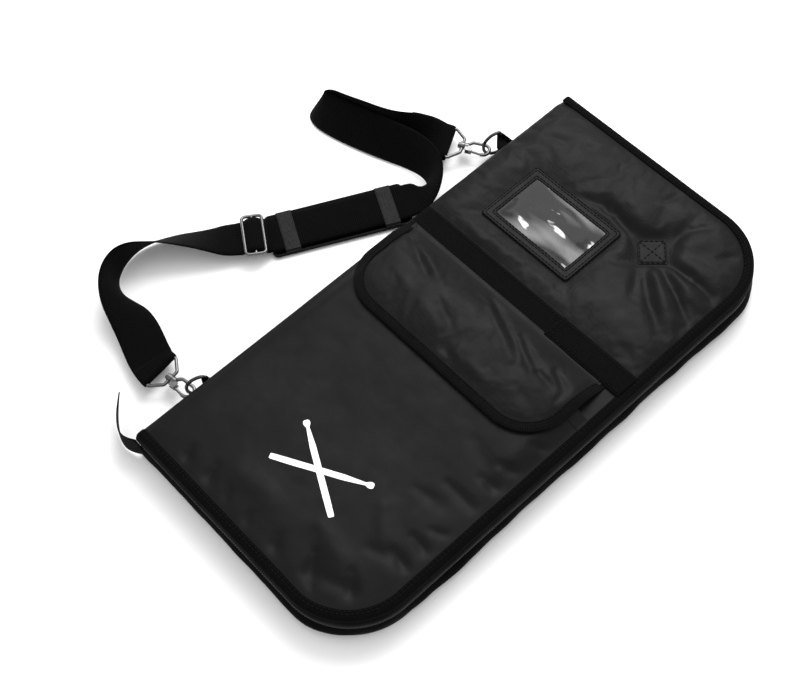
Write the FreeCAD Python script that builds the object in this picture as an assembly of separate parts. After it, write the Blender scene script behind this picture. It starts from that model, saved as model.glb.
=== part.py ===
import FreeCAD, Part
import math
import os

os.makedirs("parts", exist_ok=True)

V = FreeCAD.Vector

# ---------------------------------------------------------------- driving sizes, mm
BAG_LENGTH = 500.0          # along Y, bottom edge to top edge
BAG_WIDTH = 252.0           # along X, spine to opening side
BAG_HEIGHT = 32.0           # outer face of the closed cover
CORNER_R = 62.0             # the two corners on the opening side
CLOTH = 1.2                 # coated outer cloth
HEM_THICK = 0.7             # a second layer of cloth turned over at an open edge
FOAM = 3.0                  # padding under the cloth
LINING = 0.6
LINING_GAP = 0.2            # padding and lining stop this far from the side cloth
BINDING_REACH = 8.0         # how far the edge tape covers the panel
BINDING_PROUD = 1.2         # how far it stands out past the edge
BINDING_DEPTH = 3.6
BINDING_LIFT = 0.6          # how far it stands above the cover's cloth
SEAM_STEP = 0.6             # thickness of the cloth held inside the tape
SEAM_GAP = 0.4              # a seam edge stays this far from its neighbour
ZIP_LOW = 13.0              # bottom edge of the lower zip tape
ZIP_MIDDLE = 16.5           # where the two rows of teeth meet
ZIP_HIGH = 20.0             # top edge of the upper zip tape
COIL_HEIGHT = 1.4
TAPE_WALL = (0.2, 1.0)      # zip tape, inset of its outer and inner face from the outline
COIL_WALL = (-0.5, 1.5)     # zip teeth, likewise
BODY_GAP = 0.3              # clearance between pieces on different bodies
COVER_SETBACK = 1.8         # cover pieces start this far in from the spine face

WEBBING = 38.0              # shoulder strap width
WEBBING_THICK = 1.6
WIRE_R = 1.5                # ring wire
RING_Z = 12.0               # height of the clipped rings above the floor

HALF_L = BAG_LENGTH / 2
HALF_W = BAG_WIDTH / 2
SPINE_X = -HALF_W
FACE_X0 = SPINE_X + COVER_SETBACK + SEAM_GAP     # the cover's face between its seams
FACE_X1 = HALF_W - BINDING_REACH - SEAM_GAP
FAR = 60.0                  # cutters run this far past an open end

# front pocket, flap, band and window, all on the cover's outer face
POCKET_MOUTH_Y = 18.0
POCKET_RISE_Y = -120.0      # the pocket starts to bulge here
POCKET_FULL_Y = -30.0
POCKET_BULGE = 5.2          # height of the hollow at the mouth
POCKET_HEM = 12.0
FLAP_HINGE_Y = 50.0
FLAP_HINGE_Z = BAG_HEIGHT + 7.8
FLAP_END_Y = -46.0
FLAP_THICK = 1.5
FLAP_CORNER_R = 42.0
FLAP_X0 = -122.0
FLAP_X1 = 107.0
FLAP_FOLD = 12.0            # the flap slopes down to its seam over this length
FLAP_BINDING = 10.0
FLAP_CREST = 0.4            # top of the flap above its hinge line
FLAP_SEAM_RISE = 2.8        # underside of the flap above the cover, at its seam
CLOSING_PATCH = ((-60.0, -34.0), (40.0, -14.0))
CLOSING_PATCH_THICK = 0.5
BAND_Y0 = 51.0
BAND_Y1 = 74.5
BAND_THICK = 1.4
WINDOW_CENTRE = (-36.9, 136.1)
WINDOW_OUTER = (102.7, 70.7)
WINDOW_INNER = (84.7, 52.7)
WINDOW_THICK = 1.6
WINDOW_LEDGE = 4.0          # how far the card slot runs under the frame
FILM_TOP = 0.9              # top of the film above the cover
FILM_THICK = 0.3
OVERLAY_LENGTH = 78.6       # second layer of tape on the band's opening end
PATCH_CENTRE = (43.6, 177.0)
PATCH_SIZE = 25.0
PATCH_THICK = 0.8
LOOP_LENGTH = 60.0
EMBLEM_CENTRE = (2.0, -166.0)
STICK_LENGTH = 84.0         # the emblem's two crossed sticks
STICK_BUTT = 2.6
STICK_NECK = 1.5
STICK_TIP = 2.9
STICK_ANGLE = 28.0
PRINT_THICK = 0.3

# inside pockets
SLEEVE_COUNT = 3
SLEEVE_WIDTH = 68.0
SLEEVE_HEIGHT = 9.0
SLEEVE_WALL = 1.0
SLEEVE_Y0 = -225.0
SLEEVE_Y1 = 60.0
SLEEVE_HEM = 10.0
COVER_POCKET = ((-100.0, -235.0), (100.0, -20.0))
COVER_POCKET_DEPTH = 6.4


# ---------------------------------------------------------------- shape helpers
def box(low, high):
    size = [high[i] - low[i] for i in range(3)]
    return Part.makeBox(size[0], size[1], size[2], V(*low))


def outline_face(inset, spine_inset, z):
    """The bag's outline: square at the spine, rounded on the opening side."""
    x0 = SPINE_X + spine_inset
    x1 = HALF_W - inset
    y1 = HALF_L - inset
    r = CORNER_R - inset
    k = r * (1 - math.sqrt(0.5))
    edges = [
        Part.LineSegment(V(x0, -y1, z), V(x1 - r, -y1, z)).toShape(),
        Part.Arc(V(x1 - r, -y1, z), V(x1 - k, -y1 + k, z), V(x1, -y1 + r, z)).toShape(),
        Part.LineSegment(V(x1, -y1 + r, z), V(x1, y1 - r, z)).toShape(),
        Part.Arc(V(x1, y1 - r, z), V(x1 - k, y1 - k, z), V(x1 - r, y1, z)).toShape(),
        Part.LineSegment(V(x1 - r, y1, z), V(x0, y1, z)).toShape(),
        Part.LineSegment(V(x0, y1, z), V(x0, -y1, z)).toShape(),
    ]
    return Part.Face(Part.Wire(edges))


def plate(inset, spine_inset, z0, z1):
    return outline_face(inset, spine_inset, z0).extrude(V(0, 0, z1 - z0))


def rim(outer, inner, spine_inset, z0, z1):
    """A wall round three sides of the outline, open at the spine."""
    return plate(outer, spine_inset, z0, z1).cut(plate(inner, -FAR, z0 - 1, z1 + 1))


def polygon_prism(points, direction):
    face = Part.Face(Part.makePolygon([V(*p) for p in points] + [V(*points[0])]))
    return face.extrude(V(*direction))


def rounded_wire(points, radii, closed):
    """Straight runs joined by tangent arcs of the given radii."""
    points = [V(*p) for p in points]
    count = len(points)
    starts, ends, arcs = [], [], []
    for i, corner in enumerate(points):
        if not closed and i in (0, count - 1):
            starts.append(corner)
            ends.append(corner)
            arcs.append(None)
            continue
        back = (points[i - 1] - corner).normalize()
        ahead = (points[(i + 1) % count] - corner).normalize()
        half = back.getAngle(ahead) / 2
        reach = radii[i] / math.tan(half)
        bisector = (back + ahead).normalize()
        middle = corner + bisector * (radii[i] / math.sin(half) - radii[i])
        starts.append(corner + back * reach)
        ends.append(corner + ahead * reach)
        arcs.append(middle)
    edges = []
    for i in range(count):
        if arcs[i] is not None:
            edges.append(Part.Arc(starts[i], arcs[i], ends[i]).toShape())
        if closed or i < count - 1:
            following = starts[(i + 1) % count]
            edges.append(Part.LineSegment(ends[i], following).toShape())
    return Part.Wire(edges)


def rod_along(wire, radius):
    """A round wire bent along a planar path."""
    first = wire.OrderedEdges[0]
    begin = first.valueAt(first.FirstParameter)
    heading = first.tangentAt(first.FirstParameter)
    section = Part.Wire([Part.makeCircle(radius, begin, heading)])
    return wire.makePipeShell([section], True, False)


def placed(shape, origin, heading_deg):
    """A piece drawn along +X at the origin, turned about Z and moved into place."""
    result = shape.copy()
    result.rotate(V(0, 0, 0), V(0, 0, 1), heading_deg)
    result.translate(V(*origin))
    return result


# ---------------------------------------------------------------- back half
def back_half():
    panel = plate(BINDING_REACH, 0, 0, CLOTH)
    panel = panel.fuse(plate(SEAM_GAP, 0, SEAM_STEP, CLOTH)).removeSplitter()
    gusset = rim(0, CLOTH, CLOTH, CLOTH, ZIP_LOW)
    tape = rim(-BINDING_PROUD, BINDING_REACH, 0, 0, BINDING_DEPTH)
    foam_top = CLOTH + FOAM
    inner = CLOTH + LINING_GAP
    foam = plate(inner, inner, CLOTH, foam_top)
    lining = plate(inner, inner, foam_top, foam_top + LINING)
    tape = tape.cut(panel).cut(gusset).cut(foam)
    tape = tape.cut(box((SPINE_X - 1, -HALF_L, CLOTH), (SPINE_X + inner, HALF_L, FAR)))
    tape = max(tape.Solids, key=lambda solid: solid.Volume)
    coil_low = ZIP_MIDDLE - BODY_GAP / 2 - COIL_HEIGHT
    return {
        "back_outer_panel": panel,
        "back_gusset": gusset,
        "back_edge_binding": tape,
        "back_foam_pad": foam,
        "back_lining": lining,
        "lower_zip_tape": rim(*TAPE_WALL, CLOTH, ZIP_LOW, coil_low),
        "lower_zip_teeth": rim(*COIL_WALL, CLOTH, coil_low, coil_low + COIL_HEIGHT),
        "spine_panel": box((SPINE_X, -HALF_L, CLOTH), (SPINE_X + CLOTH, HALF_L, BAG_HEIGHT - SEAM_STEP)),
    }


def stick_sleeves():
    """Three stitched sleeves that hold the sticks, open towards the top edge."""
    floor = CLOTH + FOAM + LINING
    roof = floor + SLEEVE_HEIGHT + SLEEVE_WALL
    width = SLEEVE_COUNT * (SLEEVE_WIDTH + SLEEVE_WALL) + SLEEVE_WALL
    x0 = -width / 2
    solid = box((x0, SLEEVE_Y0, floor), (x0 + width, SLEEVE_Y1, roof))
    for i in range(SLEEVE_COUNT):
        left = x0 + SLEEVE_WALL + i * (SLEEVE_WIDTH + SLEEVE_WALL)
        low = (left, SLEEVE_Y0 + SLEEVE_WALL, floor - 1)
        solid = solid.cut(box(low, (left + SLEEVE_WIDTH, SLEEVE_Y1 + 1, roof - SLEEVE_WALL)))
    hem = box((x0, SLEEVE_Y1 - SLEEVE_HEM, roof), (x0 + width, SLEEVE_Y1, roof + HEM_THICK))
    return {"stick_sleeve_panel": solid, "stick_sleeve_hem": hem}


# ---------------------------------------------------------------- cover
def cover_shell():
    top = BAG_HEIGHT
    low = top - CLOTH
    inner = CLOTH + LINING_GAP
    start = COVER_SETBACK
    panel = plate(BINDING_REACH, start, low, top)
    panel = panel.fuse(plate(SEAM_GAP, start, low, low + SEAM_STEP)).removeSplitter()
    gusset = rim(0, CLOTH, start, ZIP_HIGH, low)
    foam = plate(inner, start, low - FOAM, low)
    lining = plate(inner, start, low - FOAM - LINING, low - FOAM)
    tape_top = top + BINDING_LIFT
    tape = rim(-BINDING_PROUD, BINDING_REACH, start, tape_top - BINDING_DEPTH, tape_top)
    tape = max(tape.cut(panel).cut(gusset).cut(foam).Solids, key=lambda solid: solid.Volume)
    coil_low = ZIP_MIDDLE + BODY_GAP / 2
    return {
        "cover_outer_panel": panel,
        "cover_gusset": gusset,
        "cover_edge_binding": tape,
        "cover_foam_pad": foam,
        "cover_lining": lining,
        "upper_zip_teeth": rim(*COIL_WALL, start, coil_low, coil_low + COIL_HEIGHT),
        "upper_zip_tape": rim(*TAPE_WALL, start, coil_low + COIL_HEIGHT, ZIP_HIGH),
    }


def pocket_profile(shrink):
    """Side view of the front pocket: flat at the bottom, bulging towards its mouth."""
    top = BAG_HEIGHT + CLOTH - shrink
    full = BAG_HEIGHT + POCKET_BULGE + CLOTH - shrink
    bottom = -HALF_L + BINDING_REACH + SEAM_GAP + shrink
    mouth = POCKET_MOUTH_Y + (1 if shrink else 0)
    base = BAG_HEIGHT - (1 if shrink else 0)
    return [
        (bottom, base), (bottom, top), (POCKET_RISE_Y, top),
        (POCKET_FULL_Y, full), (mouth, full), (mouth, base),
    ]


def front_pocket():
    """A flat cloth pocket, sewn down on three sides and open at its mouth."""
    x0 = FACE_X0
    x1 = FACE_X1
    outer = polygon_prism([(x0, y, z) for y, z in pocket_profile(0)], (x1 - x0, 0, 0))
    hollow_x0 = x0 + CLOTH
    hollow_width = x1 - x0 - 2 * CLOTH
    hollow = polygon_prism([(hollow_x0, y, z) for y, z in pocket_profile(CLOTH)], (hollow_width, 0, 0))
    within = plate(BINDING_REACH + SEAM_GAP, 0, BAG_HEIGHT, BAG_HEIGHT + FAR)
    panel = outer.cut(hollow).common(within)
    top = BAG_HEIGHT + POCKET_BULGE
    hem_low = (hollow_x0, POCKET_MOUTH_Y - POCKET_HEM, top - HEM_THICK)
    hem = box(hem_low, (x1 - CLOTH, POCKET_MOUTH_Y, top))
    return {"front_pocket_panel": panel, "front_pocket_hem": hem}


def drumstick(angle_deg, z0):
    """One stick of the emblem: a tapered shaft and an acorn tip."""
    half = STICK_LENGTH / 2
    shoulder = 0.3 * STICK_LENGTH
    shaft = [(-half, -STICK_BUTT, z0), (shoulder, -STICK_BUTT, z0), (half, -STICK_NECK, z0),
             (half, STICK_NECK, z0), (shoulder, STICK_BUTT, z0), (-half, STICK_BUTT, z0)]
    stick = polygon_prism(shaft, (0, 0, PRINT_THICK))
    tip = Part.makeCylinder(STICK_TIP, PRINT_THICK, V(half + STICK_TIP / 2, 0, z0))
    return placed(stick.fuse(tip), (*EMBLEM_CENTRE, 0), angle_deg)


def window():
    """The card window: a stitched frame with a ledge under it that holds the film."""
    top = BAG_HEIGHT
    cx, cy = WINDOW_CENTRE

    def slab(half_size, low, high):
        return box((cx - half_size[0], cy - half_size[1], low), (cx + half_size[0], cy + half_size[1], high))

    outer = [size / 2 for size in WINDOW_OUTER]
    inner = [size / 2 for size in WINDOW_INNER]
    slot = [half + WINDOW_LEDGE for half in inner]
    film = [half - BODY_GAP for half in slot]
    frame = slab(outer, top, top + WINDOW_THICK)
    frame = frame.cut(slab(inner, top - 1, top + WINDOW_THICK + 1))
    frame = frame.cut(slab(slot, top - 1, top + FILM_TOP))
    return frame, slab(film, top + FILM_TOP - FILM_THICK, top + FILM_TOP)


def cover_trim():
    """Band, card window, hanging loop with its stitch patch, and the printed emblem."""
    top = BAG_HEIGHT
    band_top = top + BAND_THICK
    frame, film = window()
    half = PATCH_SIZE / 2
    patch = placed(box((-half, -half, 0), (half, half, PATCH_THICK)), (*PATCH_CENTRE, top), 45)
    emblem_z = top + CLOTH
    emblem = drumstick(STICK_ANGLE, emblem_z).fuse(drumstick(180 - STICK_ANGLE, emblem_z))
    loop_z = top - CLOTH - FOAM - LINING
    loop = box((-half, -LOOP_LENGTH / 2, -WEBBING_THICK), (half, LOOP_LENGTH / 2, 0))
    overlay_end = FACE_X1 - 2
    return {
        "flap_band": box((FACE_X0, BAND_Y0, top), (FACE_X1, BAND_Y1, band_top)),
        "band_end_overlay": box((overlay_end - OVERLAY_LENGTH, BAND_Y0, band_top),
                                (overlay_end, BAND_Y1, band_top + CLOTH)),
        "id_window_frame": frame,
        "id_window_film": film,
        "loop_stitch_patch": patch,
        "emblem": emblem.removeSplitter(),
        "inner_hanging_loop": placed(loop, (*PATCH_CENTRE, loop_z), 45),
    }


def cover_inner_pocket():
    """A shallow pocket inside the cover for keys and paper."""
    roof = BAG_HEIGHT - CLOTH - FOAM - LINING
    low = roof - COVER_POCKET_DEPTH
    (x0, y0), (x1, y1) = COVER_POCKET
    wall = SLEEVE_WALL
    solid = box((x0, y0, low), (x1, y1, roof))
    hollow = box((x0 + wall, y0 + wall, low + wall), (x1 - wall, y1 + 1, roof + 1))
    return {"cover_inner_pocket": solid.cut(hollow)}


# ---------------------------------------------------------------- pocket flap
def flap_outline(inset, z0, z1):
    """The flap seen from above: straight at the hinge, two big round corners."""
    x0 = FLAP_X0 + inset
    x1 = FLAP_X1 - inset
    r = FLAP_CORNER_R - inset
    y_end = FLAP_END_Y + inset
    y_top = FLAP_HINGE_Y - FLAP_FOLD
    wire = rounded_wire(
        [(x0, y_top, z0), (x0, y_end, z0), (x1, y_end, z0), (x1, y_top, z0)],
        [0, r, r, 0], False,
    )
    closing = Part.LineSegment(V(x1, y_top, z0), V(x0, y_top, z0)).toShape()
    return Part.Face(Part.Wire(wire.Edges + [closing])).extrude(V(0, 0, z1 - z0))


def pocket_flap():
    """The flap over the pocket mouth, with its bound edge and closing patch."""
    top = FLAP_HINGE_Z + FLAP_CREST
    low = top - FLAP_THICK
    seam_low = BAG_HEIGHT + FLAP_SEAM_RISE
    y_top = FLAP_HINGE_Y - FLAP_FOLD
    profile = [(y_top, low), (y_top, top), (FLAP_HINGE_Y, seam_low + FLAP_THICK), (FLAP_HINGE_Y, seam_low)]
    slope = polygon_prism([(FLAP_X0, y, z) for y, z in profile], (FLAP_X1 - FLAP_X0, 0, 0))
    whole = flap_outline(0, low, top)
    cloth = flap_outline(FLAP_BINDING, low, top - PRINT_THICK)
    cloth = cloth.fuse(slope).removeSplitter()
    binding = whole.cut(flap_outline(FLAP_BINDING, low - 1, top + 1)).cut(slope)
    binding = max(binding.Solids, key=lambda solid: solid.Volume)
    (patch_x0, patch_y0), (patch_x1, patch_y1) = CLOSING_PATCH
    patch = box((patch_x0, patch_y0, low), (patch_x1, patch_y1, low + CLOSING_PATCH_THICK))
    cloth = cloth.cut(patch)
    return {"flap_cloth": cloth, "flap_edge_binding": binding, "flap_closing_patch": patch}


# ---------------------------------------------------------------- strap and its hardware
D_RING_DEPTH = 17.0
D_RING_HALF = 13.5
TAB_HALF = 9.0              # half width of the tab that holds the D ring
TAB_FOLD_R = 3.4            # outside of its fold round the bar
TAB_FOOT = 9.0              # half length of the part sewn on the spine
RING_PLAY = 0.35            # gap between a ring and the webbing round it
BOW_END = 25.2              # swivel collar to the far end of the bow
BOW_RETURN = 7.0            # straight end of the bow, where the gate closes
RING_DEPTH = 14.0           # strap bar to swivel collar
RING_WIDE_HALF = 20.5
RING_NARROW_HALF = 8.0
RING_CORNER_R = 3.0
COLLAR_R = 3.6
COLLAR_LENGTH = 4.0
BORE_PLAY = 0.4
STEM_R = 1.5
STEM_LENGTH = 9.0
STEM_BACK = 4.0             # the stem starts this far behind the collar's middle
STEM_HEAD_R = 2.8
STEM_HEAD = 1.4
SHOULDER_R = 3.4
SHOULDER_START = 2.4
SHOULDER_LENGTH = 3.4
BOW_HALF = 4.2              # inside half height of the hook's bow
HOOK_WIRE = 1.6
GATE_FOOT = (7.8, 4.4)      # the gate's pin, past the collar and above the stem
GATE_PIN_R = 0.7
GATE_R = 1.2
GATE_EYE_R = 1.4
PIN_PLAY = 0.06
EAR_IN = 1.8                # the hook's two ears, inner and outer face from its middle
EAR_OUT = 2.8
EAR_BACK = 4.6
EAR_AHEAD = 1.6
EAR_RISE = 1.5

D_RING_Z = 16.0             # the D rings stand on edge, centred on the spine's height
REACH = 34.4                # strap bar to where the D ring's arch crosses the bow
ARCH_REACH = 16.5           # bar of the D ring to its arch, at the height of the hook

# each clip: centre of the strap ring's wide bar, heading of the hook, and how far the
# D ring's bar stands off the spine
CLIPS = {"lower": (-172.5, -195.5, 8.0, 5.0), "upper": (-176.0, 145.5, 30.0, 15.0)}


def d_ring_place(clip):
    """Bar of the D ring, and the heading of its arch, so that the arch passes through the bow."""
    x, y, heading, stand_off = clip
    crossing_x = x + REACH * math.cos(math.radians(heading))
    crossing_y = y + REACH * math.sin(math.radians(heading))
    bar_x = SPINE_X - stand_off
    across = crossing_x - bar_x
    bar_y = crossing_y + math.sqrt(ARCH_REACH ** 2 - across ** 2)
    return bar_x, bar_y, math.degrees(math.atan2(crossing_y - bar_y, across))


def d_ring(clip):
    """A D shaped wire ring standing on edge, its bar upright in the tab."""
    corner = 3.0
    arch = D_RING_HALF - 0.5
    wire = rounded_wire(
        [(0, 0, D_RING_Z - D_RING_HALF), (0, 0, D_RING_Z + D_RING_HALF),
         (D_RING_DEPTH, 0, D_RING_Z + D_RING_HALF), (D_RING_DEPTH, 0, D_RING_Z - D_RING_HALF)],
        [corner, corner, arch, arch], True,
    )
    bar_x, bar_y, heading = d_ring_place(clip)
    return placed(rod_along(wire, WIRE_R), (bar_x, bar_y, 0), heading)


def ring_tab(clip):
    """A webbing tab sewn on the spine, folded round the upright bar of the D ring."""
    bar_x, bar_y, heading = d_ring_place(clip)
    low = D_RING_Z - TAB_HALF
    high = D_RING_Z + TAB_HALF
    fold = Part.makeCylinder(TAB_FOLD_R, 2 * TAB_HALF, V(bar_x, bar_y, low))
    fold = fold.fuse(box((bar_x, bar_y - TAB_FOLD_R, low), (SPINE_X, bar_y + TAB_FOLD_R, high)))
    foot_low = (SPINE_X - WEBBING_THICK, bar_y - TAB_FOOT, low)
    fold = fold.fuse(box(foot_low, (SPINE_X, bar_y + TAB_FOOT, high)))
    hole = Part.makeCylinder(WIRE_R + RING_PLAY, 2 * TAB_HALF + 2, V(bar_x, bar_y, low - 1))
    return fold.removeSplitter().cut(hole)


def strap_ring():
    """A trapezoid wire ring with the swivel collar in its narrow side."""
    wire = rounded_wire(
        [(0, -RING_WIDE_HALF, 0), (0, RING_WIDE_HALF, 0),
         (RING_DEPTH, RING_NARROW_HALF, 0), (RING_DEPTH, -RING_NARROW_HALF, 0)],
        [RING_CORNER_R] * 4, True,
    )
    ring = rod_along(wire, WIRE_R)
    half = COLLAR_LENGTH / 2
    collar = Part.makeCylinder(COLLAR_R, COLLAR_LENGTH, V(RING_DEPTH - half, 0, 0), V(1, 0, 0))
    bore_start = V(RING_DEPTH - half - 1, 0, 0)
    bore = Part.makeCylinder(STEM_R + BORE_PLAY, COLLAR_LENGTH + 2, bore_start, V(1, 0, 0))
    return ring.fuse(collar).cut(bore)


def snap_hook():
    """The swivel stem, its shoulder and the bent bow that takes the D ring."""
    base = RING_DEPTH
    stem = Part.makeCylinder(STEM_R, STEM_LENGTH, V(base - STEM_BACK, 0, 0), V(1, 0, 0))
    head = Part.makeCylinder(STEM_HEAD_R, STEM_HEAD, V(base - STEM_BACK, 0, 0), V(1, 0, 0))
    shoulder = Part.makeCylinder(SHOULDER_R, SHOULDER_LENGTH, V(base + SHOULDER_START, 0, 0), V(1, 0, 0))
    rise = BOW_HALF + HOOK_WIRE
    end = base + BOW_END
    bow = rounded_wire(
        [(base + 4.2, 0, -1.2), (base + 8.5, 0, -rise), (end, 0, -rise), (end, 0, rise),
         (end - BOW_RETURN, 0, rise)],
        [0, BOW_HALF, rise - 0.4, rise - 0.4, 0], False,
    )
    hook = stem.fuse(head).fuse(shoulder).fuse(rod_along(bow, HOOK_WIRE))
    foot = base + GATE_FOOT[0]
    for y in (-EAR_OUT, EAR_IN):
        low = (foot - EAR_BACK, y, 0.5)
        hook = hook.fuse(box(low, (foot + EAR_AHEAD, y + EAR_OUT - EAR_IN, GATE_FOOT[1] + EAR_RISE)))
    hole = Part.makeCylinder(GATE_PIN_R + PIN_PLAY, 8.0, V(foot, -4, GATE_FOOT[1]), V(0, 1, 0))
    return hook.cut(hole)


def hook_gate():
    """The sprung bar that closes the bow, turning on a pin between the hook's ears."""
    base = RING_DEPTH
    foot = V(base + GATE_FOOT[0], 0, GATE_FOOT[1])
    tip = V(base + BOW_END - BOW_RETURN - 0.5, 0, BOW_HALF + HOOK_WIRE - 0.1)
    eye_half = EAR_IN - 0.25
    bar = Part.makeCylinder(GATE_R, (tip - foot).Length, foot, tip - foot)
    eye = Part.makeCylinder(GATE_EYE_R, 2 * eye_half, V(foot.x, -eye_half, foot.z), V(0, 1, 0))
    pin = Part.makeCylinder(GATE_PIN_R, 2 * EAR_OUT, V(foot.x, -EAR_OUT, foot.z), V(0, 1, 0))
    return bar.fuse(eye).fuse(pin)


def clip_sets():
    nodes = {}
    for name, clip in CLIPS.items():
        x, y, heading = clip[:3]
        origin = (x, y, RING_Z)
        nodes[name + "_d_ring"] = d_ring(clip)
        nodes[name + "_ring_tab"] = ring_tab(clip)
        nodes[name + "_strap_ring"] = placed(strap_ring(), origin, heading)
        for part, shape in (("_snap_hook", snap_hook()), ("_hook_gate", hook_gate())):
            shape.rotate(V(0, 0, 0), V(1, 0, 0), 90)
            nodes[name + part] = placed(shape, origin, heading)
        print(name, "D ring bar and heading", [round(value, 2) for value in d_ring_place(clip)])
    return nodes


# The strap's route, ring to ring: x, y, height of its centre line, and how far its
# right-hand edge is tipped up, in degrees.
STRAP_ROUTE = [
    (-174.9, -195.8, 12, 180), (-187, -194, 11.5, 180), (-201.5, -189.2, 11.5, 176),
    (-217.2, -184.2, 11.5, 169), (-233.2, -181, 12.5, 157), (-249.5, -180, 15, 136),
    (-264, -176, 18.5, 113), (-275, -167.5, 19.6, 98), (-281.5, -155, 19.7, 88),
    (-282.5, -142, 19.5, 75), (-280, -129.5, 18.5, 62), (-274, -116.5, 17.2, 52),
    (-265, -103, 15.2, 42), (-255, -91, 13.7, 37), (-245.5, -80, 11.9, 29),
    (-236.6, -69, 9.2, 10.5), (-220.3, -45.9, 7.6, 7), (-217, -40.1, 5.6, 0), (-155, 80.8, 5.4, 0),
    (-151, 90, 9, 18), (-150, 99, 14.2, 46), (-153, 107.5, 18.4, 66), (-161, 112.5, 19, 70),
    (-174, 114.5, 18.6, 66), (-190, 113, 17.3, 58), (-208, 108, 16.5, 52), (-228, 101.5, 16, 49),
    (-248, 95, 16, 50), (-268, 89, 16.8, 54), (-284.5, 86, 17.3, 56), (-293, 89, 17.3, 56),
    (-293, 96.5, 18.5, 66), (-284, 103, 19.3, 75), (-268, 107.5, 19.6, 76), (-250, 113.5, 19.6, 79),
    (-232, 118, 19.7, 84), (-214, 123.5, 19.8, 95), (-196, 132, 16.8, 132),
    (-178.1, 144.3, 12, 180),
]
# stations where one length of webbing meets the next
STRAP_RUNS = {"strap_lower_run": (0, 15), "strap_pad_run": (15, 18), "strap_upper_run": (18, 38)}


def strap_section(point, ahead, lean):
    """The webbing's four corners at one station of the route."""
    flat = V(ahead.x, ahead.y, 0).normalize()
    right = V(flat.y, -flat.x, 0)
    angle = math.radians(lean)
    across = right * math.cos(angle) + V(0, 0, math.sin(angle))
    through = across.cross(ahead).normalize()
    half = across * (WEBBING / 2)
    thick = through * (WEBBING_THICK / 2)
    corners = [point - half - thick, point + half - thick, point + half + thick, point - half + thick]
    return Part.makePolygon(corners + [corners[0]])


def strap_runs():
    """The webbing, ruled from station to station and cut into its three lengths."""
    points = [V(x, y, z) for x, y, z, lean in STRAP_ROUTE]
    last = len(points) - 1
    end_turns = {0: CLIPS["lower"][2] + 180, last: CLIPS["upper"][2]}
    sections = []
    for i, point in enumerate(points):
        ahead = (points[min(i + 1, last)] - points[max(i - 1, 0)]).normalize()
        if i in end_turns:
            turn = math.radians(end_turns[i])
            ahead = V(math.cos(turn), math.sin(turn), 0)
        sections.append(strap_section(point, ahead, STRAP_ROUTE[i][3]))
    nodes = {}
    total = 0.0
    for name, (first, final) in STRAP_RUNS.items():
        run = Part.makeLoft(sections[first:final + 1], True, True)
        length = sum((points[i + 1] - points[i]).Length for i in range(first, final))
        ratio = run.Volume / (length * WEBBING * WEBBING_THICK)
        print(name, round(length, 1), "mm long, volume over section and length", round(ratio, 3))
        total += length
        nodes[name] = run
    print("strap, ring to ring", round(total, 1), "mm")
    return nodes


PAD_HEADING = 62.85
PAD_LENGTH = 126.0
PAD_WIDTH = 44.0
PAD_THICK = 8.0
PAD_START = (-215.5, -37.1, 5.4)
PAD_SLOT = 2.6              # height of the slot the webbing runs through
KEEPER_LENGTH = 14.0
KEEPER_INSET = 10.0         # from each end of the pad
KEEPER_THICK = 0.8


def shoulder_pad():
    """A padded sleeve that slides on the webbing, with a keeper band near each end."""
    sleeve = box((0, -PAD_WIDTH / 2, -PAD_THICK / 2), (PAD_LENGTH, PAD_WIDTH / 2, PAD_THICK / 2))
    slot_y = WEBBING / 2 + 0.6
    sleeve = sleeve.cut(box((-1, -slot_y, -PAD_SLOT / 2), (PAD_LENGTH + 1, slot_y, PAD_SLOT / 2)))
    nodes = {"shoulder_pad": sleeve}
    y = PAD_WIDTH / 2
    z = PAD_THICK / 2
    for name, start in (("lower", KEEPER_INSET), ("upper", PAD_LENGTH - KEEPER_INSET - KEEPER_LENGTH)):
        end = start + KEEPER_LENGTH
        band = box((start, -y - KEEPER_THICK, -z - KEEPER_THICK), (end, y + KEEPER_THICK, z + KEEPER_THICK))
        hole = box((start - 1, -y, -z), (end + 1, y, z))
        nodes[name + "_pad_keeper"] = band.cut(hole)
    return {name: placed(shape, PAD_START, PAD_HEADING) for name, shape in nodes.items()}


SLIDER_PLACE = (-222.4, -49.2, 12.1)
SLIDER_HEADING = 57.0
SLIDER_LEAN = -5.0
SLIDER_SLOPE = 2.7
SLIDER_HALF_LENGTH = 9.0
SLIDER_HALF_WIDTH = WEBBING / 2 + 3.2
SLIDER_CORNER_R = 3.5


def strap_slider():
    """A wire tri-glide: an oblong frame with a centre bar."""
    half_x = SLIDER_HALF_LENGTH
    half_y = SLIDER_HALF_WIDTH
    frame = rounded_wire(
        [(-half_x, -half_y, 0), (half_x, -half_y, 0), (half_x, half_y, 0), (-half_x, half_y, 0)],
        [SLIDER_CORNER_R] * 4, True,
    )
    bar = Part.makeCylinder(WIRE_R, 2 * half_y, V(0, -half_y, 0), V(0, 1, 0))
    glide = rod_along(frame, WIRE_R).fuse(bar)
    glide.rotate(V(0, 0, 0), V(1, 0, 0), SLIDER_LEAN)
    glide.rotate(V(0, 0, 0), V(0, 1, 0), SLIDER_SLOPE)
    return placed(glide, SLIDER_PLACE, SLIDER_HEADING)


# ---------------------------------------------------------------- zip ends, slider and pull
ZIP_SLIDER_X = -84.0
SLIDER_PLATE = (6.0, 2.0, 5.0)       # half length, thickness, half height
BRIDGE = (3.5, 3.8, 1.5)             # half length, height off the plate, half width
BRIDGE_WALL = 1.2
PULL_LENGTH = 27.6
PULL_HALF = 4.5
PULL_THICK = 1.4
PULL_STAND = 2.6                     # inner face of the pull off the teeth
PULL_WINDOW = (5.4, 2.0)             # length and half height
PULL_BAR = 1.6                       # bar of the pull inside the bridge
STOP_START = 14.0                    # the stop lies this far behind the slider
STOP_LENGTH = 3.0
STOP_THICK = 1.7
STOP_HALF = 3.0


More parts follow.
